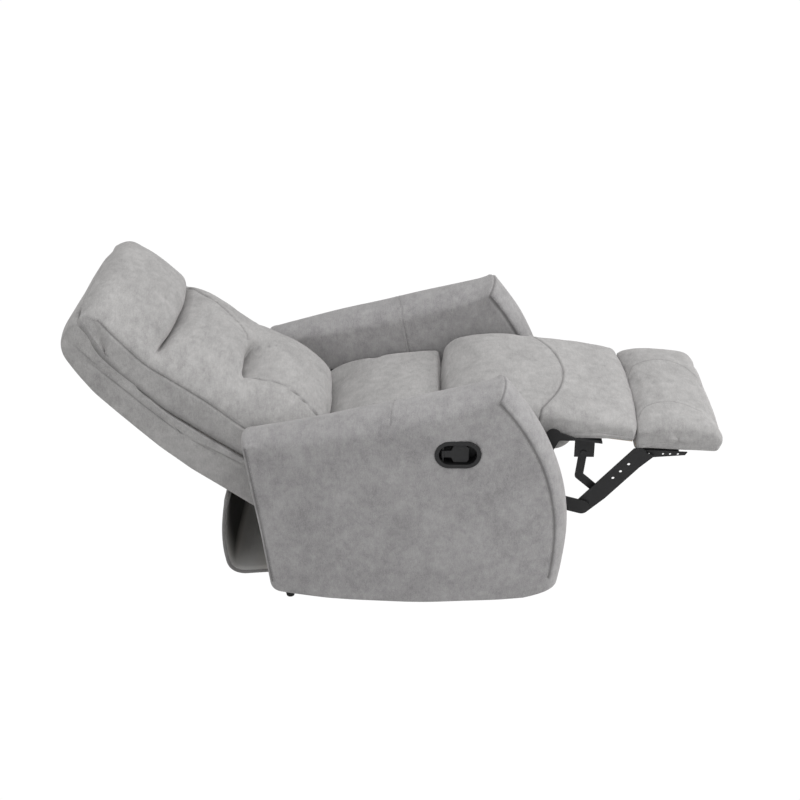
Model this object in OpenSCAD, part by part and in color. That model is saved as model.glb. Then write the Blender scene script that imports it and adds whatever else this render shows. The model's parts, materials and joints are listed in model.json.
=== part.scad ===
// Swivel glider recliner, shown fully reclined with its footrest out.
// The chair faces -Y, Z is up, and the swivel axis stands on the origin.
// Side profiles are drawn as [forward, up] and set across the chair.

/* [Arms] */
// Clear width between the two arms
arm_gap = 524; // [500:2:560]
// Thickness of an arm at its ends
arm_end_w = 100; // [90:1:120]
// Extra thickness of an arm at the middle of its bowed side
arm_bow = 38; // [10:1:60]
// Height of the arms' lower edge above the floor
arm_bottom = 48; // [44:1:70]
// Height of the arm's front peak
arm_peak_z = 647; // [630:1:660]
// How far forward of the swivel axis the peak lies
arm_peak_f = 264; // [250:1:280]
// Height of the arm's rear top corner
arm_rear_z = 491; // [480:1:500]
// How far behind the swivel axis that corner lies
arm_rear_f = 383; // [370:1:390]
// Thickness of the foam that covers the arm's wooden frame
arm_foam = 18; // [14:1:20]

/* [Seat] */
// Tilt of the seat, front up
seat_tilt = 15; // [12:1:17]
// Height of the seat deck above the swivel axis
deck_z = 301; // [294:1:306]
// Thickness of the rear seat cushion at its edges
seat_edge_h = 126; // [110:1:130]
// Rise of the seat cushion's crown
seat_crown = 16; // [6:1:20]
// How far forward of the swivel axis the rear seat cushion ends
seat_split_f = 112; // [100:1:124]

/* [Back] */
// Lean of the back from upright when fully reclined
back_lean = 54; // [50:1:56]
// Length of the back from its hinge to the top of the shell
back_len = 706; // [680:2:730]
// Depth of the shell behind the cushions
shell_depth = 118; // [110:1:126]
// Thickness of the shell's walls
shell_wall = 20; // [14:1:24]
// Rise of the lumbar cushion's crown
lumbar_crown = 62; // [30:1:66]
// Rise of the middle cushion's crown
mid_crown = 34; // [20:1:44]

/* [Footrest] */
// Half width of the two footrest pads
pad_half = 235; // [225:1:238]
// Thickness of the footrest pads at their edges
pad_edge_h = 58; // [50:1:64]
// Rise of the footrest pads' crown
pad_crown = 12; // [4:1:18]
// Radius of the knuckle on which the middle pad turns
knuckle_r = 54; // [48:1:56]
// Thickness of the pads' plywood boards
board_t = 12; // [9:1:15]

/* [Linkage] */
// Thickness of the flat steel links and plates
plate_t = 4; // [3:0.5:5]
// Side gap between neighbouring links
link_gap = 3; // [2:0.5:3]
// Half width of the lower links
link_r = 19; // [15:1:20]
// Radius of the link pivots
pivot_r = 5; // [4:0.5:6]

/* [Glider] */
// Length of the swing links from pivot to pivot
swing_len = 90; // [80:1:94]
// Height of the upper swing pivots
swing_top_z = 172; // [168:1:176]
// Distance of the swing links before and behind the swivel axis
swing_f = 125; // [118:1:140]
// Half width of the swing links
swing_r = 13; // [11:1:15]

/* [Base] */
// Outer radius of the floor ring
ring_r = 250; // [230:1:256]
// Diameter of the floor ring's tube
ring_tube = 24; // [20:1:26]
// Thickness of the plastic glides under the ring
glide_h = 6; // [4:1:8]
// Radius of the swivel bearing's plates
race_r = 85; // [75:1:95]
// Diameter of the bearing balls
ball_d = 9; // [8:1:10]

/* [Handle] */
// Length of the handle's oval bezel
bezel_len = 112; // [106:1:116]
// Height of the oval bezel
bezel_h = 72; // [68:1:76]
// Depth of the handle's cup
cup_depth = 32; // [28:1:34]

/* [Hidden] */

// Pins
head_t = 2.6;
head_r = 9;
washer_r = 8;
boss_r = 20;

// Clearances
run_fit = 0.05;     // radial gap of a pivot in its bore
soft_gap = 0.4;     // gap between soft pieces and what they rest on
over = 1;           // overrun of a cut

// Places of the pivots in the side view
fold_f = 390;       // pad hinge, forward
fold_z = 457;       // pad hinge, up
link_rise_f = 137;  // forward reach of the upper links
link_rise_z = 150;  // rise of the upper links
pad_arm_f = 220;    // forward reach of the lower links
pad_arm_z = -59;    // drop of the lower links
tilt_f = 325;       // seat tilt pivot, forward
tilt_z = 322;       // seat tilt pivot, up
hinge_f = -192;     // back hinge, forward
hinge_z = 370;      // back hinge, up
fold = [fold_f, fold_z];
link_rise = [link_rise_f, link_rise_z];
pad_arm = [pad_arm_f, pad_arm_z];
foot_pivot = fold + pad_arm;
link_root = fold - link_rise;
link_knee = link_root + pad_arm;
tilt = [tilt_f, tilt_z];
hinge = [hinge_f, hinge_z];

// Planes across the chair, each the outer face of a plate
plane_pitch = plate_t + link_gap;
plane_carriage = arm_gap / 2;
plane_seat = plane_carriage - plane_pitch;
plane_lower = plane_seat - plane_pitch;
plane_upper = plane_lower - plane_pitch;
plane_bracket = plane_upper - plane_pitch;
plane_mid = plane_bracket - plane_pitch;
plane_bracket_back = plane_carriage - over;
cushion_half = plane_seat - plate_t - 2 * soft_gap - over;

// Colours
cloth = [0.70, 0.69, 0.68];
lining = [0.62, 0.62, 0.61];
steel = [0.10, 0.10, 0.11];
plastic = [0.07, 0.07, 0.075];
timber = [0.76, 0.62, 0.44];
zinc = [0.62, 0.63, 0.65];

// Geometry helpers
function unit(v) = v / norm(v);
function mix(a, b, t) = a + (b - a) * t;
function bend(a, b, c, n) = [
    for (i = [0 : n]) mix(mix(a, b, i / n), mix(b, c, i / n), i / n)
];
function arc(c, r, from, to, n) = [
    for (i = [0 : n]) let (a = mix(from, to, i / n)) c + r * [cos(a), sin(a)]
];
// A closed outline from corners [forward, up, setback]
function rounded(corners, n) = [
    for (i = [0 : len(corners) - 1])
        let (
            k = len(corners),
            p = [corners[i][0], corners[i][1]],
            a = [corners[(i + k - 1) % k][0], corners[(i + k - 1) % k][1]],
            b = [corners[(i + 1) % k][0], corners[(i + 1) % k][1]],
            r = corners[i][2]
        )
        each bend(p + r * unit(a - p), p, p + r * unit(b - p), n)
];
// Extra points along an outline's long stretches
function refined(path, step) = [
    for (i = [0 : len(path) - 1])
        let (
            a = path[i],
            b = path[(i + 1) % len(path)],
            n = max(1, ceil(norm([b[0] - a[0], b[1] - a[1]]) / step))
        )
        for (j = [0 : n - 1]) mix(a, b, j / n)
];
function low(path, k) = min([for (p = path) p[k]]);
function high(path, k) = max([for (p = path) p[k]]);

// Skin over loops of equal count, closed by a fan at each end
module skin(rows, first, last) {
    n = len(rows[0]);
    m = len(rows);
    points = concat([for (row = rows) each row], [first, last]);
    sides = [
        for (i = [0 : m - 2])
            for (j = [0 : n - 1])
                let (a = i * n + j, b = i * n + (j + 1) % n)
                each [[a, b, b + n], [a, b + n, a + n]]
    ];
    ends = [
        for (j = [0 : n - 1])
            let (k = (j + 1) % n)
            each [[n * m, k, j], [n * m + 1, (m - 1) * n + j, (m - 1) * n + k]]
    ];
    polyhedron(points = points, faces = concat(sides, ends), convexity = 8);
}

// Cushion: a side outline carried across the chair and drawn in at its sides.
// crown = [front, top, rear]: how far the middle of each face swells, the rear one forward.
function side_places(half, edge) = let (
    left = concat(
        [for (a = [0, 28, 55]) edge * (1 - cos(a)) - half],
        [for (s = [1, 0.74, 0.4]) -s * (half - edge)]
    )
) concat(left, [0], [for (i = [len(left) - 1 : -1 : 0]) -left[i]]);

module cushion(outline, half, edge, crown) {
    mid = [
        (low(outline, 0) + high(outline, 0)) / 2,
        (low(outline, 1) + high(outline, 1)) / 2
    ];
    size = [
        (high(outline, 0) - low(outline, 0)) / 2,
        (high(outline, 1) - low(outline, 1)) / 2
    ];
    rows = [
        for (x = side_places(half, edge))
            let (
                t = abs(x) / half,
                past = max(0, abs(x) - (half - edge)) / edge,
                inset = edge * (1 - sqrt(max(0, 1 - past * past))) / 2,
                swell = pow(max(0, 1 - t * t), 0.8)
            )
            [
                for (p = outline)
                    let (
                        a = (p[0] - mid[0]) / size[0],
                        b = (p[1] - mid[1]) / size[1],
                        front = crown[0] * max(0, a) + crown[2] * max(0, -a),
                        top = crown[1] * max(0, b) * pow(max(0, 1 - a * a), 2),
                        q = p - inset * [a, b] + swell * [front, top]
                    )
                    [x, -q[0], q[1]]
            ]
    ];
    skin(rows, [-half, -mid[0], mid[1]], [half, -mid[0], mid[1]]);
}

// Flat plate standing fore and aft, with its outer face at x
module plate(x, t) {
    translate([x, 0, 0]) rotate([90, 0, -90]) linear_extrude(t) children();
}
// Round bar across the chair between two places
module cross_bar(p, r, from, to) {
    translate([from, -p[0], p[1]]) rotate([0, 90, 0]) cylinder(h = to - from, r = r, $fn = 48);
}
module disc(p, r) {
    translate(p) circle(r = r, $fn = 48);
}
// Straight bar with round ends in the side view
module bar(p, q, r) {
    n = r * [-(q - p)[1], (q - p)[0]] / norm(q - p);
    disc(p, r);
    disc(q, r);
    polygon([p + n, q + n, q - n, p - n]);
}
module left_and_right() {
    children();
    mirror([1, 0, 0]) children();
}
// The seat's and the back's own frames
function deck(f) = deck_z + f * tan(seat_tilt);
module on_deck(f) {
    translate([0, -f, deck(f)]) rotate([-seat_tilt, 0, 0]) children();
}
module in_back() {
    translate([0, -hinge[0], hinge[1]]) rotate([-back_lean, 0, 0]) children();
}
// Point beside the line from p to q: its share of the way along, and its distance to the left
function beside(p, q, along, left) = mix(p, q, along) + left * unit([p[1] - q[1], q[0] - p[0]]);

// A pin fixed to the plate whose inner face is at x, turning in the next plate inward
module inward_pin(p, x, gap = link_gap) {
    cross_bar(p, pivot_r, x - gap - plate_t - head_t, x);
    cross_bar(p, washer_r, x - gap + soft_gap / 2, x);
    cross_bar(p, head_r, x - gap - plate_t - head_t, x - gap - plate_t - soft_gap / 2);
}
module pivot_hole(p, x) {
    cross_bar(p, pivot_r + run_fit, x - plate_t - over, x + over);
}
// Zigzag wire spring laid out as [along, across]
module zigzag(length, width, turns, wire) {
    step = length / turns / 2;
    path = [for (i = [0 : 2 * turns]) [i * step, (i % 2 == 0 ? -1 : 1) * width / 2]];
    polygon(concat(
        [for (p = path) p + [0, wire]],
        [for (i = [len(path) - 1 : -1 : 0]) path[i] - [0, wire]]
    ));
}

// Base
ring_z = glide_h + ring_tube / 2;
cross_t = 4;
spoke_w = 30;
hub_top = glide_h + ring_tube + cross_t;
bolt_r = 8;
glide_r = 13;
glide_lip = 4;
glide_count = 6;
race_t = 5;
race_gap = 2;
cage_t = 1.2;
cage_w = 22;
race_edge = 5;
path_r = race_r - race_edge - cage_w / 2;
ball_z = hub_top + race_t + race_gap / 2;
ball_count = 16;
race_top = hub_top + 2 * race_t + race_gap;
nut_h = 6;
nut_r = 13;

module ring_solid(grow) {
    translate([0, 0, ring_z]) rotate_extrude($fn = 96)
        translate([ring_r - ring_tube / 2, 0]) circle(r = ring_tube / 2 + grow, $fn = 32);
}
module base_ring() {
    color(steel) ring_solid(0);
}
module base_cross() {
    color(steel) difference() {
        translate([0, 0, hub_top - cross_t]) linear_extrude(cross_t) {
            for (a = [45, 135]) rotate(a) square([2 * ring_r - ring_tube, spoke_w], center = true);
            circle(r = race_r, $fn = 96);
        }
        cylinder(h = hub_top + over, r = bolt_r + run_fit, $fn = 48);
    }
}
module base_glides() {
    color(plastic) for (i = [0 : glide_count - 1]) rotate([0, 0, i * 360 / glide_count])
        difference() {
            translate([ring_r - ring_tube / 2, 0, 0])
                cylinder(h = glide_h + glide_lip, r = glide_r, $fn = 48);
            ring_solid(soft_gap / 2);
        }
}
module ball_groove() {
    translate([0, 0, ball_z]) rotate_extrude($fn = 96)
        translate([path_r, 0]) circle(r = ball_d / 2 + run_fit, $fn = 32);
}
module race(z) {
    color(zinc) difference() {
        translate([0, 0, z]) cylinder(h = race_t, r = race_r - race_edge, $fn = 96);
        ball_groove();
        cylinder(h = race_top + over, r = bolt_r + run_fit, $fn = 48);
    }
}
module lower_race() {
    race(hub_top);
}
module upper_race() {
    race(hub_top + race_t + race_gap);
}
module bearing_balls() {
    color(zinc) union() {
        difference() {
            translate([0, 0, ball_z - cage_t / 2])
                cylinder(h = cage_t, r = path_r + cage_w / 2, $fn = 96);
            translate([0, 0, hub_top]) cylinder(h = race_top, r = path_r - cage_w / 2, $fn = 96);
        }
        for (i = [0 : ball_count - 1]) rotate([0, 0, i * 360 / ball_count])
            translate([path_r, 0, ball_z]) sphere(d = ball_d, $fn = 24);
    }
}
module swivel_bolt() {
    foot = hub_top - cross_t;
    top = race_top + plate_t + soft_gap;
    color(zinc) union() {
        translate([0, 0, foot - nut_h]) cylinder(h = nut_h, r = nut_r, $fn = 6);
        translate([0, 0, foot]) cylinder(h = top - foot, r = bolt_r, $fn = 48);
        translate([0, 0, top]) cylinder(h = nut_h, r = nut_r, $fn = 6);
    }
}

// Swivel plate and the fixed half of the glider
swivel_w = 320;
swivel_l = 200;
rail_w = 20;
rail_h = 30;
rail_wall = 2.5;
frame_half_l = 155;
tower_half_w = 18;
tower_x = swivel_w / 2 + plate_t;
swing_gap = 4;
swing_x = tower_x + swing_gap + plate_t;
plate_top = race_top + plate_t;
cross_l = 16;

module tube(size) {
    difference() {
        cube(size, center = true);
        cube([size[0] - 2 * rail_wall, size[1] + over, size[2] - 2 * rail_wall], center = true);
    }
}
module swivel_plate() {
    color(steel) difference() {
        translate([-swivel_w / 2, -swivel_l / 2, race_top]) cube([swivel_w, swivel_l, plate_t]);
        translate([0, 0, race_top - over]) cylinder(h = plate_t + 2 * over, r = bolt_r + run_fit, $fn = 48);
    }
}
module glide_frame() {
    color(steel) left_and_right() {
        translate([(swivel_w - rail_w) / 2, 0, plate_top + rail_h / 2])
            tube([rail_w, 2 * frame_half_l, rail_h]);
        for (end = [-1, 1]) difference() {
            plate(tower_x, plate_t) polygon([
                [end * swing_f - tower_half_w, plate_top],
                [end * swing_f + tower_half_w, plate_top],
                [end * swing_f + swing_r, swing_top_z + swing_r],
                [end * swing_f - swing_r, swing_top_z + swing_r]
            ]);
            cross_bar([end * swing_f, swing_top_z], pivot_r + run_fit, tower_x - plate_t - over, tower_x + over);
        }
    }
    color(steel) for (end = [-1, 1])
        translate([0, end * (frame_half_l - cross_l / 2), plate_top + cross_l / 2])
        cube([swivel_w - 2 * rail_w, cross_l, cross_l], center = true);
}
module swing_pins() {
    color(zinc) left_and_right() for (end = [-1, 1]) {
        p = [end * swing_f, swing_top_z];
        cross_bar(p, pivot_r, tower_x - plate_t - head_t, swing_x + head_t);
        cross_bar(p, head_r, tower_x - plate_t - head_t, tower_x - plate_t);
        cross_bar(p, washer_r, tower_x, swing_x - plate_t - soft_gap / 2);
        cross_bar(p, head_r, swing_x + soft_gap / 2, swing_x + head_t);
    }
}
module swing_links(end) {
    color(steel) left_and_right() difference() {
        plate(swing_x, plate_t)
            bar([end * swing_f, swing_top_z], [end * swing_f, swing_top_z - swing_len], swing_r);
        for (z = [swing_top_z, swing_top_z - swing_len])
            cross_bar([end * swing_f, z], pivot_r + run_fit, swing_x - plate_t - over, swing_x + over);
    }
}
module front_swing_links() {
    swing_links(1);
}
module rear_swing_links() {
    swing_links(-1);
}

// Carriage, the gliding half that bears the arms and the seat
carriage_x = swing_x + swing_gap + rail_w;
carriage_half_l = 190;
carriage_z = swing_top_z - swing_len;
tube_w = 25;
tube_f = 60;
tube_z = carriage_z + rail_h / 2 + tube_w / 2;
riser_f = 345;
riser_w = 40;
rear_post_f = -215;
rear_post_h = 130;
beam_h = 42;
beam_low = carriage_z + rail_h / 2;

module carriage_rails() {
    color(steel) left_and_right() {
        translate([carriage_x - rail_w / 2, 0, carriage_z]) tube([rail_w, 2 * carriage_half_l, rail_h]);
        for (end = [-1, 1]) {
            p = [end * swing_f, carriage_z];
            cross_bar(p, pivot_r, tower_x + over, carriage_x - rail_w);
            cross_bar(p, head_r, tower_x + over, swing_x - plate_t - soft_gap / 2);
            cross_bar(p, washer_r, swing_x + soft_gap / 2, carriage_x - rail_w);
        }
    }
}
module carriage_tubes() {
    color(steel) for (end = [-1, 1]) translate([0, end * tube_f, tube_z]) rotate([0, 0, 90])
        tube([tube_w, 2 * (plane_carriage - plate_t), tube_w]);
}
module carriage_plate() {
    color(steel) difference() {
        union() {
            plate(plane_carriage, plate_t) {
                disc(tilt, riser_w / 2);
                polygon([
                    [rear_post_f, beam_low], [tilt_f / 2, beam_low], [riser_f, tilt_z],
                    [tilt_f - riser_w / 2, tilt_z], [tilt_f / 2 - riser_w, beam_low + beam_h],
                    [rear_post_f + 2 * riser_w, beam_low + beam_h],
                    [rear_post_f + riser_w, beam_low + rear_post_h], [rear_post_f, beam_low + rear_post_h]
                ]);
            }
            inward_pin(tilt, plane_carriage - plate_t);
        }
        for (f = [-tube_f, tube_f]) translate([plane_carriage - plate_t / 2, -f, beam_low + beam_h])
            rotate([0, 90, 0]) cylinder(h = plate_t + over, r = pivot_r, center = true, $fn = 48);
    }
}
module left_carriage_plate() {
    carriage_plate();
}
module right_carriage_plate() {
    mirror([1, 0, 0]) carriage_plate();
}

// Arms: a bowed, crowned skin between an outer and an inner face
arm_low_front = [415, arm_bottom];
arm_low_rear = [-321, arm_bottom];
arm_nose = [478, 405];
arm_peak = [arm_peak_f, arm_peak_z];
arm_back_top = [-arm_rear_f, arm_rear_z];
front_puff = 34;
top_puff = 30;
rear_puff = 12;
low_puff = 9;
arm_step = 62;
arm_centre = [(arm_low_front[0] + arm_low_rear[0]) / 2, (arm_bottom + arm_rear_z) / 2 + arm_foam];
arm_length = arm_low_front[0] + arm_rear_f;
arm_round = 24;

// Outline points [forward, up, depth of the rounded border]
function arm_outline() = refined(concat(
    [for (p = bend(arm_low_front + [0, arm_round], arm_nose, arm_peak - [0, over], 9))
        [p[0], p[1], front_puff]],
    [for (p = bend(arm_peak - [arm_round / 2, 0], arm_peak - [arm_round, arm_round / 4],
        arm_peak - [2 * arm_round, arm_round / 2], 2)) [p[0], p[1], top_puff]],
    [for (p = bend(arm_back_top + [1.5 * arm_round, 0], arm_back_top, arm_back_top - [0, 1.5 * arm_round], 4))
        [p[0], p[1], mix(top_puff, rear_puff, (arm_back_top[1] - p[1]) / arm_round / 1.5)]],
    [for (p = bend(arm_low_rear + [-arm_round / 2, arm_round], arm_low_rear, arm_low_rear + [arm_round, 0], 3))
        [p[0], p[1], mix(low_puff, rear_puff, (p[1] - arm_bottom) / arm_round)]],
    [for (p = bend(arm_low_front - [arm_round, 0], arm_low_front, arm_low_front + [0, arm_round / 2], 3))
        [p[0], p[1], mix(low_puff, front_puff, (p[1] - arm_bottom) / arm_round)]]
), arm_step);
function arm_outer(f) = let (a = (f - arm_centre[0]) / (arm_length / 2))
    arm_gap / 2 + arm_end_w + arm_bow * max(0, 1 - a * a);
function arm_point(p, turn, inward, side) = let (
    n = unit(arm_centre - [p[0], p[1]]),
    core = [p[0], p[1]] + n * p[2] * (1 - cos(turn)),
    q = mix(core, arm_centre, inward),
    inner = arm_gap / 2,
    outer = arm_outer(q[0]),
    ridge = (inner + outer) / 2,
    x = ridge + side * (outer - inner) / 2 * sin(turn)
) [x, -q[0], q[1]];

module arm_skin() {
    outline = arm_outline();
    rows = concat(
        [for (k = [0.62, 0.3]) [for (p = outline) arm_point(p, 90, k, 1)]],
        [for (a = [90, 64, 40, 18]) [for (p = outline) arm_point(p, a, 0, 1)]],
        [for (a = [0, 30, 60, 90]) [for (p = outline) arm_point(p, a, 0, -1)]]
    );
    skin(rows,
        [arm_outer(arm_centre[0]), -arm_centre[0], arm_centre[1]],
        [arm_gap / 2, -arm_centre[0], arm_centre[1]]);
}
// Space inside the foam for the wooden frame, as shares of the arm's length and height
frame_t = 12;
cavity_w = 64;
post_w = 32;
cavity_shares = [[-0.32, 0], [0.42, 0], [0.42, 0.43], [0.27, 0.84], [-0.37, 0.63], [-0.36, 0.4]];
window_shares = [[-0.22, 0.1], [0.32, 0.1], [0.32, 0.4], [0.2, 0.68], [-0.22, 0.52]];
post_shares = [[-0.29, 0.25], [0.38, 0.25], [-0.24, 0.01], [0.36, 0.01], [0.23, 0.74], [-0.28, 0.55]];
function in_arm(share) = [
    arm_centre[0] + arm_length * share[0],
    arm_bottom + (arm_peak_z - arm_bottom) * share[1]
];
module cavity_outline() {
    polygon([for (share = cavity_shares) in_arm(share) - [0, share[1] == 0 ? over : 0]]);
}
module arm_body() {
    difference() {
        arm_skin();
        plate(arm_gap / 2 + arm_foam + cavity_w, cavity_w) cavity_outline();
    }
}
module left_arm() {
    color(cloth) arm_body();
}
module right_arm() {
    color(cloth) difference() {
        mirror([1, 0, 0]) arm_body();
        oval_block(bezel_len + soft_gap, bezel_h + soft_gap, bezel_x - top_puff, bezel_x + bezel_seat);
        oval_block(bezel_len - 2 * cup_lip + soft_gap, bezel_h - 2 * cup_lip + soft_gap,
            bezel_x - over, bezel_x + cup_depth + soft_gap);
    }
}
module arm_frame() {
    inner_x = arm_gap / 2 + arm_foam;
    color(timber) difference() {
        plate(inner_x + frame_t, frame_t) polygon([
            for (share = cavity_shares)
                in_arm([share[0] - sign(share[0]) * soft_gap / arm_length, share[1]])
                + [0, share[1] == 0 ? soft_gap : -2 * soft_gap]
        ]);
        plate(inner_x + frame_t + over, frame_t + 2 * over)
            polygon([for (share = window_shares) in_arm(share)]);
    }
    color(timber) for (share = post_shares) {
        p = in_arm(share);
        translate([inner_x + frame_t, -p[0] - post_w / 2, p[1]])
            cube([cavity_w - frame_t - soft_gap, post_w, post_w]);
    }
}
module left_arm_frame() {
    arm_frame();
}
module right_arm_frame() {
    mirror([1, 0, 0]) arm_frame();
}
bumper_f = -275;
bumper_in = 68;
bumper_r = 15;
bumper_h = 24;
module arm_bumpers() {
    color(plastic) left_and_right() translate([arm_gap / 2 + bumper_in, -bumper_f, arm_bottom - bumper_h])
        cylinder(h = bumper_h, r1 = bumper_r * 2 / 3, r2 = bumper_r, $fn = 48);
}

// Wooden rail between the arms' rear ends, and the upholstered apron nailed under it
apron_t = 10;
apron_top = [-444, 264];
apron_heel = [-466, 150];
apron_bend = [-452, 80];
apron_toe = [-400, 33];
rail_f = -312;
rail_z = 92;
rear_rail_w = 40;
apron_low = rail_z - rear_rail_w;
module rear_rail() {
    color(timber) translate([-arm_gap / 2, -rail_f - rear_rail_w / 2, apron_low])
        cube([arm_gap, rear_rail_w, rear_rail_w]);
}
module rear_apron() {
    shift = [apron_t, 0];
    rise = [0, apron_t];
    toe = [rail_f + rear_rail_w / 2, apron_low - apron_t];
    outer = concat(
        bend(apron_top, apron_heel, apron_bend, 5),
        bend(apron_bend, [apron_bend[0] + apron_t / 2, apron_toe[1]], apron_toe, 6),
        [toe]
    );
    inner = concat(
        bend(apron_top + shift, apron_heel + shift, apron_bend + shift, 5),
        bend(apron_bend + shift, [apron_bend[0] + 1.5 * apron_t, apron_toe[1] + apron_t], apron_toe + rise, 6),
        [toe + rise]
    );
    half = arm_gap / 2 - apron_t;
    color(lining) plate(half, 2 * half)
        polygon(concat(outer, [for (i = [len(inner) - 1 : -1 : 0]) inner[i]]));
}

// Handle in the right arm
handle_f = 149;
handle_z = 482;
cup_lip = 7;
cup_skin = 3;
bezel_t = 3;
bezel_seat = 4;
cup_len = bezel_len - 2 * (cup_lip + cup_skin);
cup_h = bezel_h - 2 * (cup_lip + cup_skin);
bezel_x = -arm_outer(handle_f);
pin_r = 2.5;
pin_back = 36;
pin_depth = 6;
pin_half = sqrt(pow(cup_h / 2, 2) - pow(pin_back - (cup_len - cup_h) / 2, 2)) + cup_skin / 2;
paddle_t = 6;
knuckle_wall = 2.5;
tab_half = 9;
tab_end = 16;
paddle_half = 22;
paddle_end = 26;
paddle_cut = 6;

// Oval block across the right arm between two places
module oval_block(length, height, from, to) {
    translate([from, -handle_f, handle_z]) rotate([0, 90, 0]) linear_extrude(to - from) {
        square([height, length - height], center = true);
        for (end = [-1, 1]) translate([0, end * (length - height) / 2]) circle(d = height, $fn = 64);
    }
}
module upright_pin(r, half) {
    translate([bezel_x + pin_depth, pin_back - handle_f, handle_z - half]) cylinder(h = 2 * half, r = r, $fn = 48);
}
module handle_cup() {
    color(plastic) difference() {
        union() {
            oval_block(bezel_len, bezel_h, bezel_x - bezel_t, bezel_x + bezel_seat);
            oval_block(bezel_len - 2 * cup_lip, bezel_h - 2 * cup_lip,
                bezel_x + bezel_seat - over, bezel_x + cup_depth);
        }
        oval_block(cup_len, cup_h, bezel_x - bezel_t - over, bezel_x + cup_depth - cup_skin);
        upright_pin(pin_r + run_fit, pin_half);
    }
}
module handle_pin() {
    color(zinc) upright_pin(pin_r, pin_half);
}
module handle_paddle() {
    color(plastic) difference() {
        union() {
            plate(bezel_x + pin_depth + paddle_t / 2, paddle_t) translate([handle_f, handle_z]) polygon([
                [-pin_back, tab_half], [-tab_end, tab_half], [-tab_end + paddle_cut, paddle_half],
                [paddle_end - paddle_cut, paddle_half], [paddle_end, paddle_half - paddle_cut],
                [paddle_end, paddle_cut - paddle_half], [paddle_end - paddle_cut, -paddle_half],
                [-tab_end + paddle_cut, -paddle_half], [-tab_end, -tab_half], [-pin_back, -tab_half]
            ]);
            upright_pin(pin_r + knuckle_wall, tab_half);
        }
        upright_pin(pin_r + run_fit, paddle_half);
    }
}

// Seat: side plates, cross rails, springs and cushions
wire = 3.5;
seat_rail_w = 25;
rear_rail_f = -178;
front_rail_f = 293;
plate_drop = 38;
spring_turns = 14;
spring_w = 44;
spring_pitch = 70;
nose_r = 13;
nose_end = plane_lower - plate_t - head_t;
bolster_half = nose_end - soft_gap;
edge = 24;
step_z = 410;
step_f = 318;
barrel_end = -112;
bolster_top_shares = [[0.89, 1.02], [0.64, 1.15], [0.48, 1.17], [0.31, 1.13], [0.14, 0.96], [0.04, 0.6]];
module seat_plate() {
    low_rear = [hinge_f + boss_r, deck(hinge_f) - plate_drop];
    color(steel) difference() {
        union() {
            plate(plane_seat, plate_t) {
                for (p = [hinge, fold, tilt, link_root]) disc(p, boss_r);
                polygon([
                    hinge - [boss_r, 0], [hinge_f - boss_r, deck(hinge_f)], low_rear,
                    link_root - [boss_r / 2, boss_r * 0.85], tilt + [boss_r * 0.9, -boss_r / 2],
                    fold + [boss_r, 0], fold - [boss_r, 0], tilt + [-boss_r, 3 * boss_r],
                    [hinge_f + 3 * boss_r, deck(hinge_f) + plate_drop], hinge + [boss_r, 0]
                ]);
            }
            inward_pin(fold, plane_seat - plate_t);
            inward_pin(link_root, plane_seat - plate_t);
        }
        pivot_hole(tilt, plane_seat);
        pivot_hole(hinge, plane_seat);
    }
}
module left_seat_plate() {
    seat_plate();
}
module right_seat_plate() {
    mirror([1, 0, 0]) seat_plate();
}
module seat_rails() {
    half = plane_seat - plate_t;
    color(steel) {
        for (f = [rear_rail_f, front_rail_f]) on_deck(f)
            translate([0, 0, -wire - seat_rail_w / 2]) rotate([0, 0, 90])
            tube([seat_rail_w, 2 * half, seat_rail_w]);
        cross_bar(fold, nose_r, -nose_end, nose_end);
    }
}
module seat_springs() {
    color(zinc) for (x = [-2.5 : 1 : 2.5]) on_deck(rear_rail_f)
        translate([x * spring_pitch, 0, -wire]) rotate([0, 0, -90]) linear_extrude(wire)
        zigzag((front_rail_f - rear_rail_f) / cos(seat_tilt), spring_w, spring_turns, wire);
}
module seat_cushion() {
    top = seat_edge_h;
    color(cloth) cushion(rounded([
        [hinge_f + over, deck(hinge_f + over) + soft_gap, soft_gap],
        [seat_split_f, deck(seat_split_f) + soft_gap, soft_gap],
        [seat_split_f, deck(seat_split_f) + top, boss_r],
        [hinge_f + edge / 2, deck(hinge_f) + top, edge / 2],
        [hinge_f, deck(hinge_f) + top - edge / 2, edge / 2]
    ], 4), cushion_half, edge, [0, seat_crown, 0]);
}
module thigh_bolster() {
    rear = seat_split_f + 2 * soft_gap;
    color(cloth) difference() {
        cushion(concat(
            [[rear, deck(rear) + soft_gap]],
            [[step_f, deck(step_f) + soft_gap], [step_f + over, step_z]],
            arc(fold, knuckle_r, barrel_end, 90, 15),
            [for (share = bolster_top_shares) [mix(rear, fold_f, share[0]), fold_z + knuckle_r * share[1]]],
            [[rear, fold_z]]
        ), bolster_half, edge, [0, seat_crown / 2, 0]);
        cross_bar(fold, nose_r + soft_gap, -plane_seat, plane_seat);
    }
}

// Back: a hollow upholstered shell with a wooden frame, springs and three cushions
cushion_d = 87;
shell_gap = 5;
shell_half = plane_seat - shell_gap;
frame_w = 26;
back_rail_w = 30;
bracket_at_shares = [0.4424, 0.085];
shell_shares = [
    [0, -0.085], [1.02, -0.085], [1.02, 0.44], [0.86, 0.636], [0.67, 0.778], [0.475, 0.909],
    [0.36, 0.965], [0.22, 0.995], [-0.23, 1.008], [-0.5, 1.0], [-0.58, 0.98], [-0.58, 0.959],
    [-0.195, 0.823], [-0.01, 0.683], [0, 0.3]
];
hollow_shares = [[0.85, 0], [0.85, 0.43], [0.69, 0.636], [0.5, 0.778], [0.36, 0.87], [-0.8, 0.91], [-0.8, 0]];
lumbar_shares = [
    [0, -0.057], [0.25, -0.045], [0.69, 0.0], [0.95, 0.04], [1.115, 0.085], [1.23, 0.156], [1.24, 0.24],
    [1.19, 0.33], [1.1, 0.385], [0.9, 0.401], [0, 0.401], [0, 0.2]
];
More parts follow.
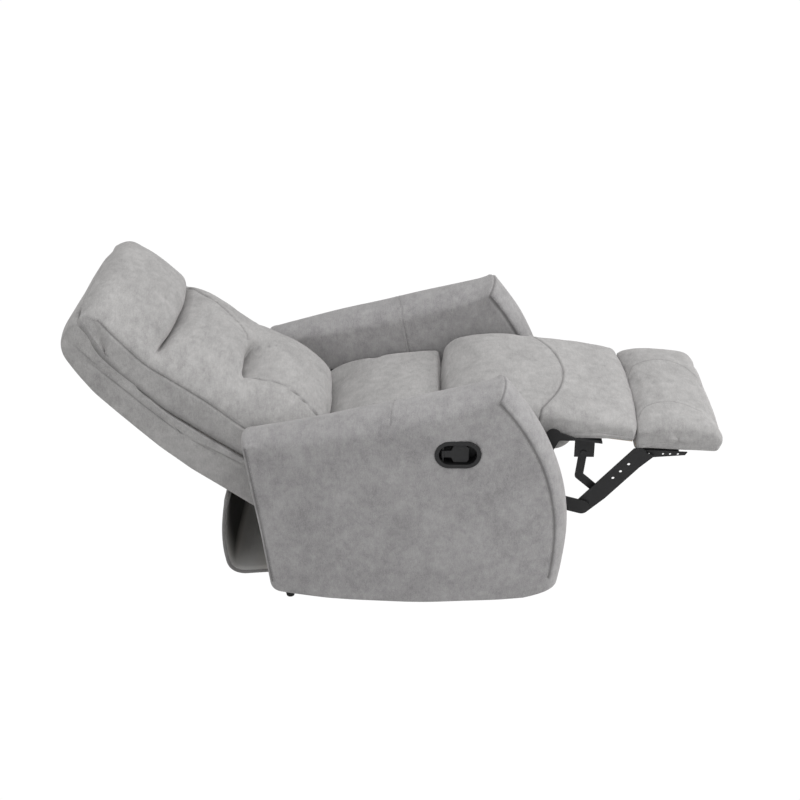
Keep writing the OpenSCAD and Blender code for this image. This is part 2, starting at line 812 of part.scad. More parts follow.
mid_shares = [
    [0, 0.405], [0.8, 0.405], [1.05, 0.413], [1.14, 0.45], [1.16, 0.52], [1.14, 0.6], [1.05, 0.636],
    [0.66, 0.646], [0.01, 0.646], [0, 0.52]
];
head_shares = [
    [0.08, 0.652], [0.79, 0.652], [1.1, 0.67], [1.3, 0.707], [1.46, 0.755], [1.61, 0.834], [1.64, 0.904],
    [1.51, 0.946], [1.31, 0.976], [1.0, 0.998], [0.79, 0.99], [0.79, 0.959], [0.275, 0.823], [0.02, 0.683]
];
function in_shell(share) = [-cushion_d - shell_depth * share[0], back_len * share[1]];
function in_pad(share) = [cushion_d * (share[0] - 1), back_len * share[1]];
module back_shell() {
    hollow = 2 * (shell_half - shell_wall);
    color(cloth) in_back() difference() {
        cushion(refined([for (share = shell_shares) in_shell(share)], 2 * arm_step), shell_half, shell_wall, [0, 0, 0]);
        plate(hollow / 2, hollow) polygon([for (share = hollow_shares) in_shell(share)]);
    }
}
module back_frame() {
    outer = shell_half - shell_wall - soft_gap;
    front = cushion_d + wire + soft_gap;
    color(timber) in_back() {
        left_and_right() translate([outer - frame_w, front, soft_gap]) cube([frame_w, back_rail_w, back_len * 0.8]);
        for (share = [0, 0.38, 0.76]) translate([frame_w - outer, front, soft_gap + back_len * share])
            cube([2 * (outer - frame_w), back_rail_w, back_rail_w]);
    }
}
module back_springs() {
    color(zinc) in_back() for (x = [-2 : 2])
        translate([x * spring_pitch, cushion_d + soft_gap, back_rail_w / 2]) rotate([-90, -90, 0])
        linear_extrude(wire) zigzag(back_len * 0.78, spring_w, spring_turns, wire);
}
module back_bracket() {
    foot = in_shell(bracket_at_shares);
    color(steel) in_back() {
        plate(plane_bracket_back, plate_t) {
            disc([0, 0], boss_r);
            disc(foot, boss_r);
            bar([0, 0], foot, boss_r);
        }
        inward_pin([0, 0], plane_bracket_back - plate_t, plane_bracket_back - plate_t - plane_seat);
        cross_bar(foot, boss_r * 0.8, shell_half, plane_bracket_back - plate_t);
    }
}
module left_back_bracket() {
    back_bracket();
}
module right_back_bracket() {
    mirror([1, 0, 0]) back_bracket();
}
module lumbar_cushion() {
    color(cloth) in_back() cushion([for (share = lumbar_shares) in_pad(share)], cushion_half, edge, [lumbar_crown, 0, 0]);
}
module mid_cushion() {
    color(cloth) in_back() cushion([for (share = mid_shares) in_pad(share)], cushion_half, edge, [mid_crown, 0, 0]);
}
module head_pillow() {
    color(cloth) in_back() cushion([for (share = head_shares) in_pad(share)], cushion_half, edge, [mid_crown / 3, 0, 0]);
}

// Footrest
pad_slope = 7.3;
pad_low_f = 52;
pad_low_z = -10;
mid_len = 150;
foot_back = 10;
foot_len = 198;
foot_reach = 110;
foot_flange_f = 20;
foot_rise = 24;
foot_slope = 1.7;
crease = 30;
pad_gap = 1.2;
lug_len = 62;
flange_w = 28;
mid_box_f = [knuckle_r + link_gap, 107];
mid_box_z = [-69, -23];
mid_joint = [80, -69];
bar_share = 0.27;
mid_elbow = [73, -127];
mid_low = fold + [pad_low_f, pad_low_z];
foot_low = foot_pivot + [-foot_back, foot_rise - board_t];
knuckle_from = 59;
knuckle_to = 2;
mid_top_shares = [[0.94, 0.05], [0.91, 0.25], [0.84, 0.4], [0.627, 0.6], [0.42, 0.76], [0.245, 0.87], [0.15, 0.94]];
foot_top_shares = [
    [0, 0.03], [1.07, 0], [1.1, 0.2], [1.1, 0.45], [1.04, 0.78], [0.97, 0.93], [0.88, 0.98],
    [0.66, 1.02], [0.44, 1.05], [0.22, 1.05], [0.02, 1.0]
];
foot_bracket_shares = [[-0.1, 0.02], [-0.05, 0.8], [1.1, 0.8], [1.05, 0.1], [0.15, -0.85], [-0.1, -0.6]];
function mid_under(f) = mid_low - [0, (f - mid_low[0]) * tan(pad_slope)] + [f - mid_low[0], 0];

module lower_link() {
    color(steel) difference() {
        union() {
            plate(plane_lower, plate_t) bar(link_root, link_knee, link_r);
            inward_pin(link_knee, plane_lower - plate_t);
        }
        pivot_hole(link_root, plane_lower);
    }
}
module lower_links() {
    left_and_right() lower_link();
}
module upper_link() {
    r = link_r;
    color(steel) difference() {
        union() {
            plate(plane_upper, plate_t) {
                bar(link_knee, foot_pivot, r);
                polygon([
                    beside(link_knee, foot_pivot, 0, -1.2 * r), beside(link_knee, foot_pivot, 0.28, -1.45 * r),
                    beside(link_knee, foot_pivot, 0.88, -1.35 * r), beside(link_knee, foot_pivot, 1.12, -1.55 * r),
                    beside(link_knee, foot_pivot, 1.02, 1.2 * r), beside(link_knee, foot_pivot, 0, r)
                ]);
            }
            inward_pin(foot_pivot, plane_upper - plate_t);
        }
        pivot_hole(link_knee, plane_upper);
        for (along = [0.55, 0.68, 0.82]) cross_bar(beside(link_knee, foot_pivot, along, 0),
            pivot_r * 0.8, plane_upper - plate_t - over, plane_upper + over);
    }
}
module upper_links() {
    left_and_right() upper_link();
}
module mid_pad_board() {
    color(timber) plate(pad_half - board_t, 2 * (pad_half - board_t)) polygon([
        mid_under(mid_low[0] + board_t / 2), mid_under(mid_low[0] + mid_len),
        mid_under(mid_low[0] + mid_len) + [0, board_t], mid_under(mid_low[0] + board_t / 2) + [0, board_t]
    ]);
}
module mid_pad_cushion() {
    rest = [0, board_t + soft_gap / 2];
    color(cloth) cushion(concat(
        arc(fold, knuckle_r + pad_gap, knuckle_from, knuckle_to, 7),
        [mid_under(mid_low[0] + board_t / 2) + rest, mid_under(mid_low[0] + mid_len / 2) + rest],
        [mid_under(mid_low[0] + mid_len) + rest],
        [for (share = mid_top_shares) fold + [pad_arm_f * share[0], knuckle_r * share[1]]]
    ), pad_half, edge, [crease, pad_crown, 0]);
}
module mid_brackets() {
    low_f = fold_f + pad_low_f + board_t;
    color(steel) left_and_right() {
        difference() {
            plate(plane_lower, plate_t) {
                disc(fold, boss_r * 0.8);
                polygon([
                    fold + [0, -boss_r * 0.8], mid_under(fold_f + lug_len) - [0, plate_t],
                    mid_under(fold_f + 2 * lug_len) - [0, plate_t], mid_under(fold_f + 2 * lug_len),
                    mid_under(fold_f + lug_len), fold + [boss_r * 0.7, boss_r * 0.4]
                ]);
            }
            pivot_hole(fold, plane_lower);
        }
        plate(plane_lower, flange_w) polygon([
            mid_under(low_f), mid_under(fold_f + 2 * lug_len),
            mid_under(fold_f + 2 * lug_len) - [0, plate_t], mid_under(low_f) - [0, plate_t]
        ]);
        difference() {
            plate(plane_bracket, plate_t) polygon([
                fold + [mid_box_f[0], mid_box_z[0]], fold + [mid_box_f[1], mid_box_z[0]],
                mid_under(fold_f + mid_box_f[1]) - [0, plate_t / 2],
                mid_under(fold_f + mid_box_f[0]) - [0, plate_t / 2]
            ]);
            pivot_hole(fold + mid_joint + [0, head_r + over], plane_bracket);
        }
    }
}
module mid_links() {
    top = fold + mid_joint + [0, head_r + over];
    low = mix(link_knee, foot_pivot, bar_share);
    elbow = fold + mid_elbow;
    color(steel) left_and_right() {
        plate(plane_mid, plate_t) {
            bar(top, elbow, link_r * 0.55);
            bar(elbow, low, link_r * 0.55);
        }
        cross_bar(top, pivot_r, plane_mid - over, plane_bracket + head_t);
        cross_bar(top, washer_r, plane_mid - over, plane_bracket - plate_t - soft_gap / 2);
        cross_bar(top, head_r, plane_bracket + soft_gap / 2, plane_bracket + head_t);
    }
}
module foot_pad_board() {
    far = foot_low + [foot_len, -foot_len * tan(foot_slope)];
    color(timber) plate(pad_half - board_t, 2 * (pad_half - board_t))
        polygon([foot_low, far, far + [0, board_t], foot_low + [0, board_t]]);
}
module foot_pad_cushion() {
    rear = foot_low + [0, board_t + soft_gap / 2];
    color(cloth) cushion(
        [for (share = foot_top_shares)
            rear + [foot_len * share[0], pad_edge_h * share[1] - foot_len * min(1, share[0]) * tan(foot_slope)]],
        pad_half, edge, [crease / 2, pad_crown, crease]);
}
function under_foot(f) = foot_low + [f, -f * tan(foot_slope)];
module foot_brackets() {
    color(steel) left_and_right() {
        difference() {
            plate(plane_bracket, plate_t) union() {
                disc(foot_pivot, boss_r * 0.9);
                polygon([for (share = foot_bracket_shares)
                    foot_pivot + [foot_reach * share[0], (foot_rise - board_t) * share[1]]
                    - [0, max(0, foot_reach * share[0]) * tan(foot_slope)]]);
            }
            pivot_hole(foot_pivot, plane_bracket);
            for (along = [0.22, 0.55, 0.71, 0.89])
                cross_bar(foot_pivot + [foot_reach * along, 0], pivot_r * 0.6,
                    plane_bracket - plate_t - over, plane_bracket + over);
        }
        plate(plane_bracket, flange_w) polygon([
            under_foot(foot_flange_f) - [0, plate_t], under_foot(foot_reach) - [0, plate_t],
            under_foot(foot_reach), under_foot(foot_flange_f)
        ]);
    }
}

// The whole chair, or one piece of it
base_ring();
base_cross();
base_glides();
lower_race();
bearing_balls();
swivel_bolt();
upper_race();
swivel_plate();
glide_frame();
swing_pins();
front_swing_links();
rear_swing_links();
carriage_rails();
carriage_tubes();
left_carriage_plate();
right_carriage_plate();
left_arm();
right_arm();
left_arm_frame();
right_arm_frame();
arm_bumpers();
rear_rail();
rear_apron();
handle_cup();
handle_pin();
handle_paddle();
left_seat_plate();
right_seat_plate();
seat_rails();
seat_springs();
seat_cushion();
thigh_bolster();
back_shell();
back_frame();
back_springs();
left_back_bracket();
right_back_bracket();
lumbar_cushion();
mid_cushion();
head_pillow();
lower_links();
upper_links();
mid_pad_board();
mid_pad_cushion();
mid_brackets();
mid_links();
foot_pad_board();
foot_pad_cushion();
foot_brackets();
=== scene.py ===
import json
import math

import bmesh
import bpy
import numpy as np
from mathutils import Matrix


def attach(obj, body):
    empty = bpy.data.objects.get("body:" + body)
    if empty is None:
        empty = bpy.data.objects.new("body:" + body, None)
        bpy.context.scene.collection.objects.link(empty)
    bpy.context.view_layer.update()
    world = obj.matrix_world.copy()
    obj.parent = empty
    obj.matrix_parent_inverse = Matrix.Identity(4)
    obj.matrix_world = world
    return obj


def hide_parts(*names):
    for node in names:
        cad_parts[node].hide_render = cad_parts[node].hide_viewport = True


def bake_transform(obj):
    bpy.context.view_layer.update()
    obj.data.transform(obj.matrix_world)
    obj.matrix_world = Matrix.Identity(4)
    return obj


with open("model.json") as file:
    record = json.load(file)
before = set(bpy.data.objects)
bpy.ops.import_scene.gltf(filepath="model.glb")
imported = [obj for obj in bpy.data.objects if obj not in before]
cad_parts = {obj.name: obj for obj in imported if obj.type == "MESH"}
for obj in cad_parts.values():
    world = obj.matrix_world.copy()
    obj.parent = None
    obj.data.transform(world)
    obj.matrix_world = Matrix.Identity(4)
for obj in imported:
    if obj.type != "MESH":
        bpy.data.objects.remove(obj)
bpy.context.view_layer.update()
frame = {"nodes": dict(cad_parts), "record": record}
nodes = frame["nodes"]
mm = 0.001


# Number helpers
def ramp(low, high, value):
    share = np.clip((value - low) / (high - low), 0, 1)
    return share * share * (3 - 2 * share)


def evenly(path, count, closed):
    # Points at equal steps along a polyline
    loop = np.vstack([path, path[:1]]) if closed else np.asarray(path, float)
    steps = np.linalg.norm(np.diff(loop, axis=0), axis=1)
    far = np.concatenate([[0], np.cumsum(steps)])
    at = np.linspace(0, far[-1], count + 1)[:-1] if closed else np.linspace(0, far[-1], count)
    return np.stack([np.interp(at, far, loop[:, k]) for k in range(loop.shape[1])], axis=1)


def softened(path, rounds, closed=True):
    # Each round cuts every corner at a quarter of its two sides
    path = np.asarray(path, float)
    for _ in range(rounds):
        after = np.roll(path, -1, axis=0) if closed else path[1:]
        before = path if closed else path[:-1]
        cut = np.stack([before * 0.75 + after * 0.25, before * 0.25 + after * 0.75], axis=1)
        cut = cut.reshape(-1, path.shape[1])
        path = cut if closed else np.vstack([path[:1], cut, path[-1:]])
    return path


def throughPoints(points, perSpan, closed=False):
    # A smooth curve through every point, with its slope taken from the point's neighbours
    p = np.asarray(points, float)
    if closed:
        before, start, end, after = np.roll(p, 1, 0), p, np.roll(p, -1, 0), np.roll(p, -2, 0)
    else:
        padded = np.vstack([2 * p[0] - p[1], p, 2 * p[-1] - p[-2]])
        before, start, end, after = padded[:-3], padded[1:-2], padded[2:-1], padded[3:]
    t = np.linspace(0, 1, perSpan, endpoint=False)[None, :, None]
    before, start, end, after = (q[:, None, :] for q in (before, start, end, after))
    curve = 0.5 * (2 * start + (end - before) * t + (2 * before - 5 * start + 4 * end - after) * t ** 2
                   + (3 * start - before - 3 * end + after) * t ** 3)
    curve = curve.reshape(-1, p.shape[1])
    return curve if closed else np.vstack([curve, p[-1:]])


def outwardSign(points):
    # 1 where the winding of a closed grid faces out, from the volume that it encloses
    p = points - points.reshape(-1, 3).mean(axis=0)
    ahead = np.roll(p, -1, axis=1)
    a, b, c, d = p[:-1], ahead[:-1], ahead[1:], p[1:]
    volume = (a * np.cross(b, c)).sum() + (a * np.cross(c, d)).sum()
    return 1 if volume > 0 else -1


def unit(vectors):
    # Each vector at a length of one
    return vectors / np.maximum(np.linalg.norm(vectors, axis=-1, keepdims=True), 1e-12)


def gridNormals(points):
    # Outward normals of a grid whose columns close on themselves
    around = np.roll(points, -1, axis=1) - np.roll(points, 1, axis=1)
    across = np.gradient(points, axis=0)
    normal = np.cross(around, across) * outwardSign(points)
    # The end rows are drawn to a point or a line, so they face straight sideways, away from the grid's middle
    endRows = 3
    for last in (slice(0, endRows), slice(-endRows, None)):
        way = points[last].mean(axis=(0, 1)) - points.mean(axis=(0, 1))
        normal[last] = way * np.array([1.0, 0.0, 0.0])
    return unit(normal)


def unevenness(points, size, seed):
    # Sum of waves in random directions, one to three times as long as size; it stays within about one
    waves = 9
    rng = np.random.default_rng(seed)
    total = np.zeros(points.shape[:-1])
    for _ in range(waves):
        way = rng.normal(size=3)
        way *= 2 * math.pi / (np.linalg.norm(way) * size * rng.uniform(1, 3))
        total += np.sin(points @ way + rng.uniform(0, 2 * math.pi))
    return total / (waves / 2)


def bell(value, middle, width):
    # One at the middle, and close to nothing two widths away
    return np.exp(-((value - middle) / width) ** 2)


def nearest(points, samples):
    # Distance of each point to the closest sample, and that sample's index, from |a|^2 + |b|^2 - 2ab
    middle = samples.mean(axis=0)
    flat, others = points.reshape(-1, 3) - middle, samples - middle
    own = (others ** 2).sum(axis=1)
    away = np.empty(len(flat))
    which = np.empty(len(flat), int)
    room = 3000000  # distances worked out at one time
    step = max(1, room // len(others))
    for first in range(0, len(flat), step):
        part = flat[first:first + step]
        square = own - 2 * part @ others.T
        which[first:first + step] = square.argmin(axis=1)
        away[first:first + step] = square.min(axis=1) + (part ** 2).sum(axis=1)
    away = np.sqrt(np.maximum(away, 0))
    return away.reshape(points.shape[:-1]), which.reshape(points.shape[:-1])


def ontoGrid(line, points, normals):
    # The line's points dropped on the tangent plane of the closest grid point
    flat, out = points.reshape(-1, 3), normals.reshape(-1, 3)
    which = nearest(line, flat)[1]
    drop = ((line - flat[which]) * out[which]).sum(axis=1, keepdims=True)
    return line - drop * out[which], out[which]


# Mesh helpers
def newMesh(name, points, faces, material):
    mesh = bpy.data.meshes.new(name)
    mesh.from_pydata(np.asarray(points, float).tolist(), [], faces)
    mesh.polygons.foreach_set("use_smooth", np.ones(len(mesh.polygons), bool))
    mesh.materials.append(material)
    mesh.update()
    piece = bpy.data.objects.new(name, mesh)
    bpy.context.scene.collection.objects.link(piece)
    return piece


def gridFaces(rows, columns):
    # Four-sided faces between each two rows, all the way round
    i, j = np.meshgrid(np.arange(rows - 1), np.arange(columns), indexing="ij")
    k = (j + 1) % columns
    corners = (i * columns + j, i * columns + k, (i + 1) * columns + k, (i + 1) * columns + j)
    return np.stack(corners, -1).reshape(-1, 4)


def closedGridMesh(name, points, material, fans=True):
    # Columns close on themselves. A fan closes each end row on its middle point, unless the row is a line already
    rows, columns = points.shape[:2]
    ends = np.array([points[0].mean(axis=0), points[-1].mean(axis=0)])
    j = np.arange(columns)
    k = (j + 1) % columns
    base = (rows - 1) * columns
    faces = gridFaces(rows, columns).tolist()
    if fans:
        faces += np.stack([k, j, np.full(columns, rows * columns)], -1).tolist()
        faces += np.stack([base + j, base + k, np.full(columns, rows * columns + 1)], -1).tolist()
    if outwardSign(points) < 0:
        faces = [face[::-1] for face in faces]
    places = points.reshape(-1, 3)
    return newMesh(name, np.vstack([places, ends]) if fans else places, faces, material)


def setPaintedShade(piece, paintedShade):
    # Painted shade: the cloth's shader darkens where this value is high; the middle points of the fans have none
    value = np.concatenate([paintedShade.reshape(-1), [0, 0]])[:len(piece.data.vertices)].astype(np.float32)
    piece.data.attributes.new("paintedShade", "FLOAT", "POINT").data.foreach_set("value", value)


def relaxed(points, pinned, settings):
    # The grid is thinned and blown up by a cloth simulation between its pinned places.
    # The moves are then capped, smoothed and carried back to the full grid
    step, opened = settings["thin"], settings["opened"]
    coarse = points[::step, ::step].copy()
    # End rows that are drawn to a line would stop the simulation, so its copy opens them a little
    coarse[0] += (coarse[1] - coarse[0]) * opened
    coarse[-1] += (coarse[-2] - coarse[-1]) * opened
    rows, columns = coarse.shape[:2]
    piece = closedGridMesh("soft_try", coarse, bpy.data.materials[0])
    held = np.append(pinned(coarse).reshape(-1), [True, True])
    group = piece.vertex_groups.new(name="held")
    group.add(np.flatnonzero(held).tolist(), 1.0, "REPLACE")
    cloth = piece.modifiers.new("cloth", "CLOTH").settings
    cloth.quality = 5
    cloth.mass = 0.3
    cloth.tension_stiffness = cloth.compression_stiffness = settings["stiff"]
    cloth.shear_stiffness = settings["stiff"] / 3
    cloth.bending_stiffness = settings["bend"]
    cloth.use_pressure = True
    cloth.uniform_pressure_force = settings["pressure"]
    cloth.shrink_min = settings["shrink"]
    cloth.vertex_group_mass = "held"
    cloth.effector_weights.gravity = 0
    scene = bpy.context.scene
    for number in range(1, settings["frames"] + 1):
        scene.frame_set(number)
    shaped = piece.evaluated_get(bpy.context.evaluated_depsgraph_get()).to_mesh()
    place = np.empty(len(shaped.vertices) * 3, np.float32)
    shaped.vertices.foreach_get("co", place)
    place = place.reshape(-1, 3)[:rows * columns].reshape(rows, columns, 3).astype(float)
    bpy.data.objects.remove(piece)
    scene.frame_set(1)
    move = np.nan_to_num(place - coarse)
    length = np.linalg.norm(move, axis=2, keepdims=True)
    move *= np.minimum(1, settings["cap"] / np.maximum(length, 1e-9))
    for _ in range(settings["smooth"]):
        near = np.roll(move, 1, 1) + np.roll(move, -1, 1)
        near[1:-1] += move[2:] + move[:-2]
        near[1:-1] /= 4
        near[0] /= 2
        near[-1] /= 2
        move = move * 0.5 + near * 0.5
    wrapped = np.concatenate([move, move[:, :1]], axis=1)
    i = np.minimum(np.arange(points.shape[0]) / step, rows - 1 - 1e-9)
    j = np.arange(points.shape[1]) / step
    i0, j0 = np.floor(i).astype(int), np.floor(j).astype(int)
    a, b = (i - i0)[:, None, None], (j - j0)[None, :, None]
    fine = ((1 - a) * (1 - b) * wrapped[i0][:, j0] + (1 - a) * b * wrapped[i0][:, j0 + 1]
            + a * (1 - b) * wrapped[i0 + 1][:, j0] + a * b * wrapped[i0 + 1][:, j0 + 1])
    print("simulated, largest move", round(float(length.max()) * 1000, 1), "mm")
    return points + fine


def sewn(points, seams):
    # Each seam sinks the cloth in a narrow valley and lets it swell a little on both sides; painted shade darkens
    # the valley's colour
    swellShare, swellAt, swellWidth, darkWidth = 0.35, 2.6, 1.5, 0.9  # of the seam's depth, then of its width
    normals = gridNormals(points)
    depth = np.zeros(points.shape[:2])
    paintedShade = np.zeros(points.shape[:2])
    lines = []
    for seam in seams:
        line = evenly(seam["line"], seam.get("samples", 400), False)
        for _ in range(3):
            line = ontoGrid(line, points, normals)[0]
        away = nearest(points, line)[0]
        width = seam["width"]
        swell = bell(away, swellAt * width, swellWidth * width)
        depth += seam["depth"] * (swellShare * swell - bell(away, 0, width))
        paintedShade = np.maximum(paintedShade, seam.get("dark", 1.0) * bell(away, 0, darkWidth * width))
        lines.append((line, seam))
    return points + normals * depth[..., None], lines, paintedShade


def stitches(lines, points, stitch):
    # Short thread bars beside each seam, on the sides that it names, lying on the cloth
    normals = gridNormals(points)
    bars = []
    for line, seam in lines:
        beside = np.cross(ontoGrid(line, points, normals)[1], unit(np.gradient(line, axis=0)))
        for side in seam["threads"]:
            run, out = ontoGrid(line + side * seam.get("offset", stitch["offset"]) * beside, points, normals)
            total = np.linalg.norm(np.diff(run, axis=0), axis=1).sum()
            count = max(2, int(total / stitch["pitch"]))
            bars.append(evenly(np.hstack([run, out]), 2 * count, False).reshape(count, 2, 6))
    return np.concatenate(bars)


def threadMesh(name, bars, stitch, material):
    # Each stitch is a bar of three rings with five corners, thickest in its middle
    corners = 5
    first, last, out = bars[:, 0, :3], bars[:, 1, :3], unit(bars[:, 0, 3:])
    side = np.cross(unit(last - first), out)
    turn = np.linspace(0, 2 * math.pi, corners, endpoint=False)[None, :, None]
    around = np.cos(turn) * side[:, None] + np.sin(turn) * out[:, None]
    rings = []
    for share, thick, lift in ((0, 0.45, 0.1), (0.5, 1, 0.75), (1, 0.45, 0.1)):
        middle = first + (last - first) * share + out * stitch["thick"] * lift / 2
        rings.append(middle[:, None] + around * stitch["thick"] / 2 * thick)
    base = np.arange(len(bars))[:, None] * 3 * corners
    faces = []
    for ring in (0, corners):
        for k in range(corners):
            j = (k + 1) % corners
            faces += (base + np.array([ring + k, ring + j, ring + corners + j, ring + corners + k])).tolist()
    faces += (base + np.arange(corners)[::-1]).tolist()
    faces += (base + np.arange(2 * corners, 3 * corners)).tolist()
    return newMesh(name, np.stack(rings, axis=1).reshape(-1, 3), faces, material)


# Shader helpers
class Wire:
    def __init__(self, graph, socket):
        self.graph, self.socket = graph, socket

    def join(self, operation, first, second):
        return self.graph.node("Math", {"operation": operation}, {0: first, 1: second})[0]

    def __add__(self, other):
        return self.join("ADD", self, other)

    def __radd__(self, other):
        return self.join("ADD", other, self)

    def __sub__(self, other):
        return self.join("SUBTRACT", self, other)

    def __rsub__(self, other):
        return self.join("SUBTRACT", other, self)

    def __mul__(self, other):
        return self.join("MULTIPLY", self, other)

    def __rmul__(self, other):
        return self.join("MULTIPLY", other, self)

    def __pow__(self, other):
        return self.join("POWER", self, other)


class Graph:
    def __init__(self, name):
        self.material = bpy.data.materials.new(name)
        self.material.use_nodes = True
        self.tree = self.material.node_tree
        self.tree.nodes.clear()

    def node(self, kind, settings=None, sockets=None):
        made = self.tree.nodes.new("ShaderNode" + kind)
        for key, value in (settings or {}).items():
            setattr(made, key, value)
        for key, value in (sockets or {}).items():
            if isinstance(value, Wire):
                self.tree.links.new(value.socket, made.inputs[key])
            else:
                made.inputs[key].default_value = value
        return [Wire(self, socket) for socket in made.outputs]

    def noise(self, place, scale, detail=3.0, rough=0.55):
        sockets = {"Vector": place, "Scale": scale, "Detail": detail, "Roughness": rough}
        return self.node("TexNoise", None, sockets)[0]

    def stretched(self, place, scale):
        return self.node("Mapping", None, {"Vector": place, "Scale": scale})[0]

    def blend(self, share, dark, light):
        return self.node("Mix", {"data_type": "RGBA"}, {0: share, 6: dark, 7: light})[2]

    def bump(self, height, strength, distance):
        return self.node("Bump", None, {"Strength": strength, "Distance": distance, "Height": height})[0]

    def between(self, value, low, high):
        return self.node("MapRange", {"clamp": True}, {0: value, 1: low, 2: high})[0]

    def place(self):
        return self.node("TexCoord")[3]

    def surface(self, sockets):
        shader = self.node("BsdfPrincipled", None, sockets)[0]
        self.node("OutputMaterial", None, {0: shader})
        return self.material


def clothMaterial(name, dark, light, cloudy, nap):
    # Short-napped cloth: soft clouds where the nap lies another way, fine crosswise scuffs, and a dense grain.
    # cloudy holds the strengths of clouds, patches, scuffs and grain
    # Near-black colour of the painted shade
    shadeColour = (0.10, 0.097, 0.096, 1)
    graph = Graph(name)
    place = graph.place()
    clouds = graph.noise(place, 11.0, 4.0, 0.6)
    patches = graph.noise(place, 46.0, 3.0, 0.6)
    scuffs = graph.noise(graph.stretched(place, (60.0, 260.0, 110.0)), 1.0, 2.0, 0.5)
    grain = graph.noise(place, 620.0, 2.0, 0.6)
    tone = (clouds - 0.5) * cloudy[0] + (patches - 0.5) * cloudy[1] + (scuffs - 0.5) * cloudy[2]
    tone = tone + (grain - 0.5) * cloudy[3] + 0.5
    # Painted shade: a per-point attribute mixes the colour towards near black in seam valleys, by the shell gap,
    # on the inner arms behind the seat and on the apron's end rows
    paintedShade = graph.node("Attribute", {"attribute_name": "paintedShade"})[2]
    share = graph.between(tone - paintedShade * 0.3, 0.0, 1.0)
    colour = graph.blend(paintedShade * 0.62, graph.blend(share, dark, light), shadeColour)
    rough = 0.98 - share * 0.12
    bump = graph.bump(grain * 0.6 + scuffs * 0.4, nap, 0.0012)
    return graph.surface({"Base Color": colour, "Roughness": rough, "Normal": bump, "Specular IOR Level": 0.15,
                          "Sheen Weight": 0.35, "Sheen Roughness": 0.55, "Sheen Tint": (1.0, 0.98, 0.97, 1.0)})


def liningMaterial():
    # Woven lining with painted light and shade: pale where light falls in at the near end, a little at the far
    # end and along the bottom, and painted shade, near black, farther in
    nearLitEnd, farLitEnd, bottom = (-0.12, -0.235), (0.2, 0.245), (0.068, 0.05)  # metres, from black to pale
    graph = Graph("lining")
    place = graph.place()
    across, _, height = graph.node("SeparateXYZ", None, {0: place})
    litEnds = graph.between(across, *nearLitEnd) ** 2.2 + graph.between(across, *farLitEnd) * 0.2
    low = graph.between(height, *bottom) * 0.8
    pale = graph.node("Math", {"operation": "MAXIMUM"}, {0: litEnds, 1: low})[0]
    clouds = graph.noise(place, 9.0, 3.0)
    threads = graph.noise(graph.stretched(place, (900.0, 300.0, 300.0)), 1.0, 2.0)
    share = graph.between(clouds * 0.6 + threads * 0.4, 0.3, 0.7)
    bump = graph.bump(threads, 0.25, 0.0006)
    cloth = graph.blend(share, (0.62, 0.62, 0.61, 1), (0.78, 0.78, 0.77, 1))
    # Painted shade is the near-black colour; painted light is the pale cloth colour at the ends and the bottom
    colour = graph.blend(pale, (0.025, 0.025, 0.025, 1), cloth)
    return graph.surface({"Base Color": colour, "Roughness": 0.62, "Normal": bump})


def paintedSteel(name, dark, light, rough):
    # Powder coat: an orange-peel skin, dust on it, and rubbed spots that shine a little more
    graph = Graph(name)
    place = graph.place()
    peel = graph.noise(place, 900.0, 2.0)
    dust = graph.noise(place, 24.0, 4.0, 0.6)
    rubbed = graph.between(graph.noise(place, 60.0, 4.0, 0.7), 0.55, 0.75)
    bump = graph.bump(peel, 0.2, 0.0004)
    return graph.surface({"Base Color": graph.blend(dust, dark, light), "Roughness": rough - rubbed * 0.15,
                          "Normal": bump, "Specular IOR Level": 0.4})


def platedSteel(name, dark, light, rough):
    # Zinc plate or drawn wire: faint crystals and long draw marks
    graph = Graph(name)
    place = graph.place()
    spangle = graph.node("TexVoronoi", None, {"Vector": place, "Scale": 160.0})[0]
    marks = graph.noise(graph.stretched(place, (40.0, 900.0, 900.0)), 1.0, 2.0)
    share = graph.between(spangle * 0.5 + marks * 0.5, 0.2, 0.8)
    bump = graph.bump(marks, 0.15, 0.0003)
    return graph.surface({"Base Color": graph.blend(share, dark, light), "Roughness": rough + share * 0.15,
                          "Metallic": 1.0, "Normal": bump})


def mouldedPlastic(name, dark, light, rough):
    # Moulded part with a fine spark-eroded texture
    graph = Graph(name)
    place = graph.place()
    spark = graph.noise(place, 1500.0, 2.0)
    dust = graph.noise(place, 40.0, 3.0)
    bump = graph.bump(spark, 0.25, 0.0003)
    return graph.surface({"Base Color": graph.blend(dust, dark, light), "Roughness": rough + dust * 0.12,
                          "Normal": bump, "Specular IOR Level": 0.45})


def plywoodMaterial():
    # Rotary-cut face veneer with plies that show on the edges
    graph = Graph("plywood")
    place = graph.place()
    figure = graph.noise(graph.stretched(place, (6.0, 60.0, 60.0)), 1.0, 4.0, 0.6)
    pores = graph.noise(graph.stretched(place, (60.0, 900.0, 900.0)), 1.0, 2.0)
    bands = {"Vector": place, "Scale": 110.0, "Distortion": 0.6}
    plies = graph.node("TexWave", {"bands_direction": "Z"}, bands)[1]
    share = graph.between(figure * 0.6 + pores * 0.2 + plies * 0.2, 0.25, 0.8)
    bump = graph.bump(pores, 0.3, 0.0005)
    return graph.surface({"Base Color": graph.blend(share, (0.36, 0.23, 0.12, 1), (0.66, 0.49, 0.30, 1)),
                          "Roughness": 0.72, "Normal": bump})


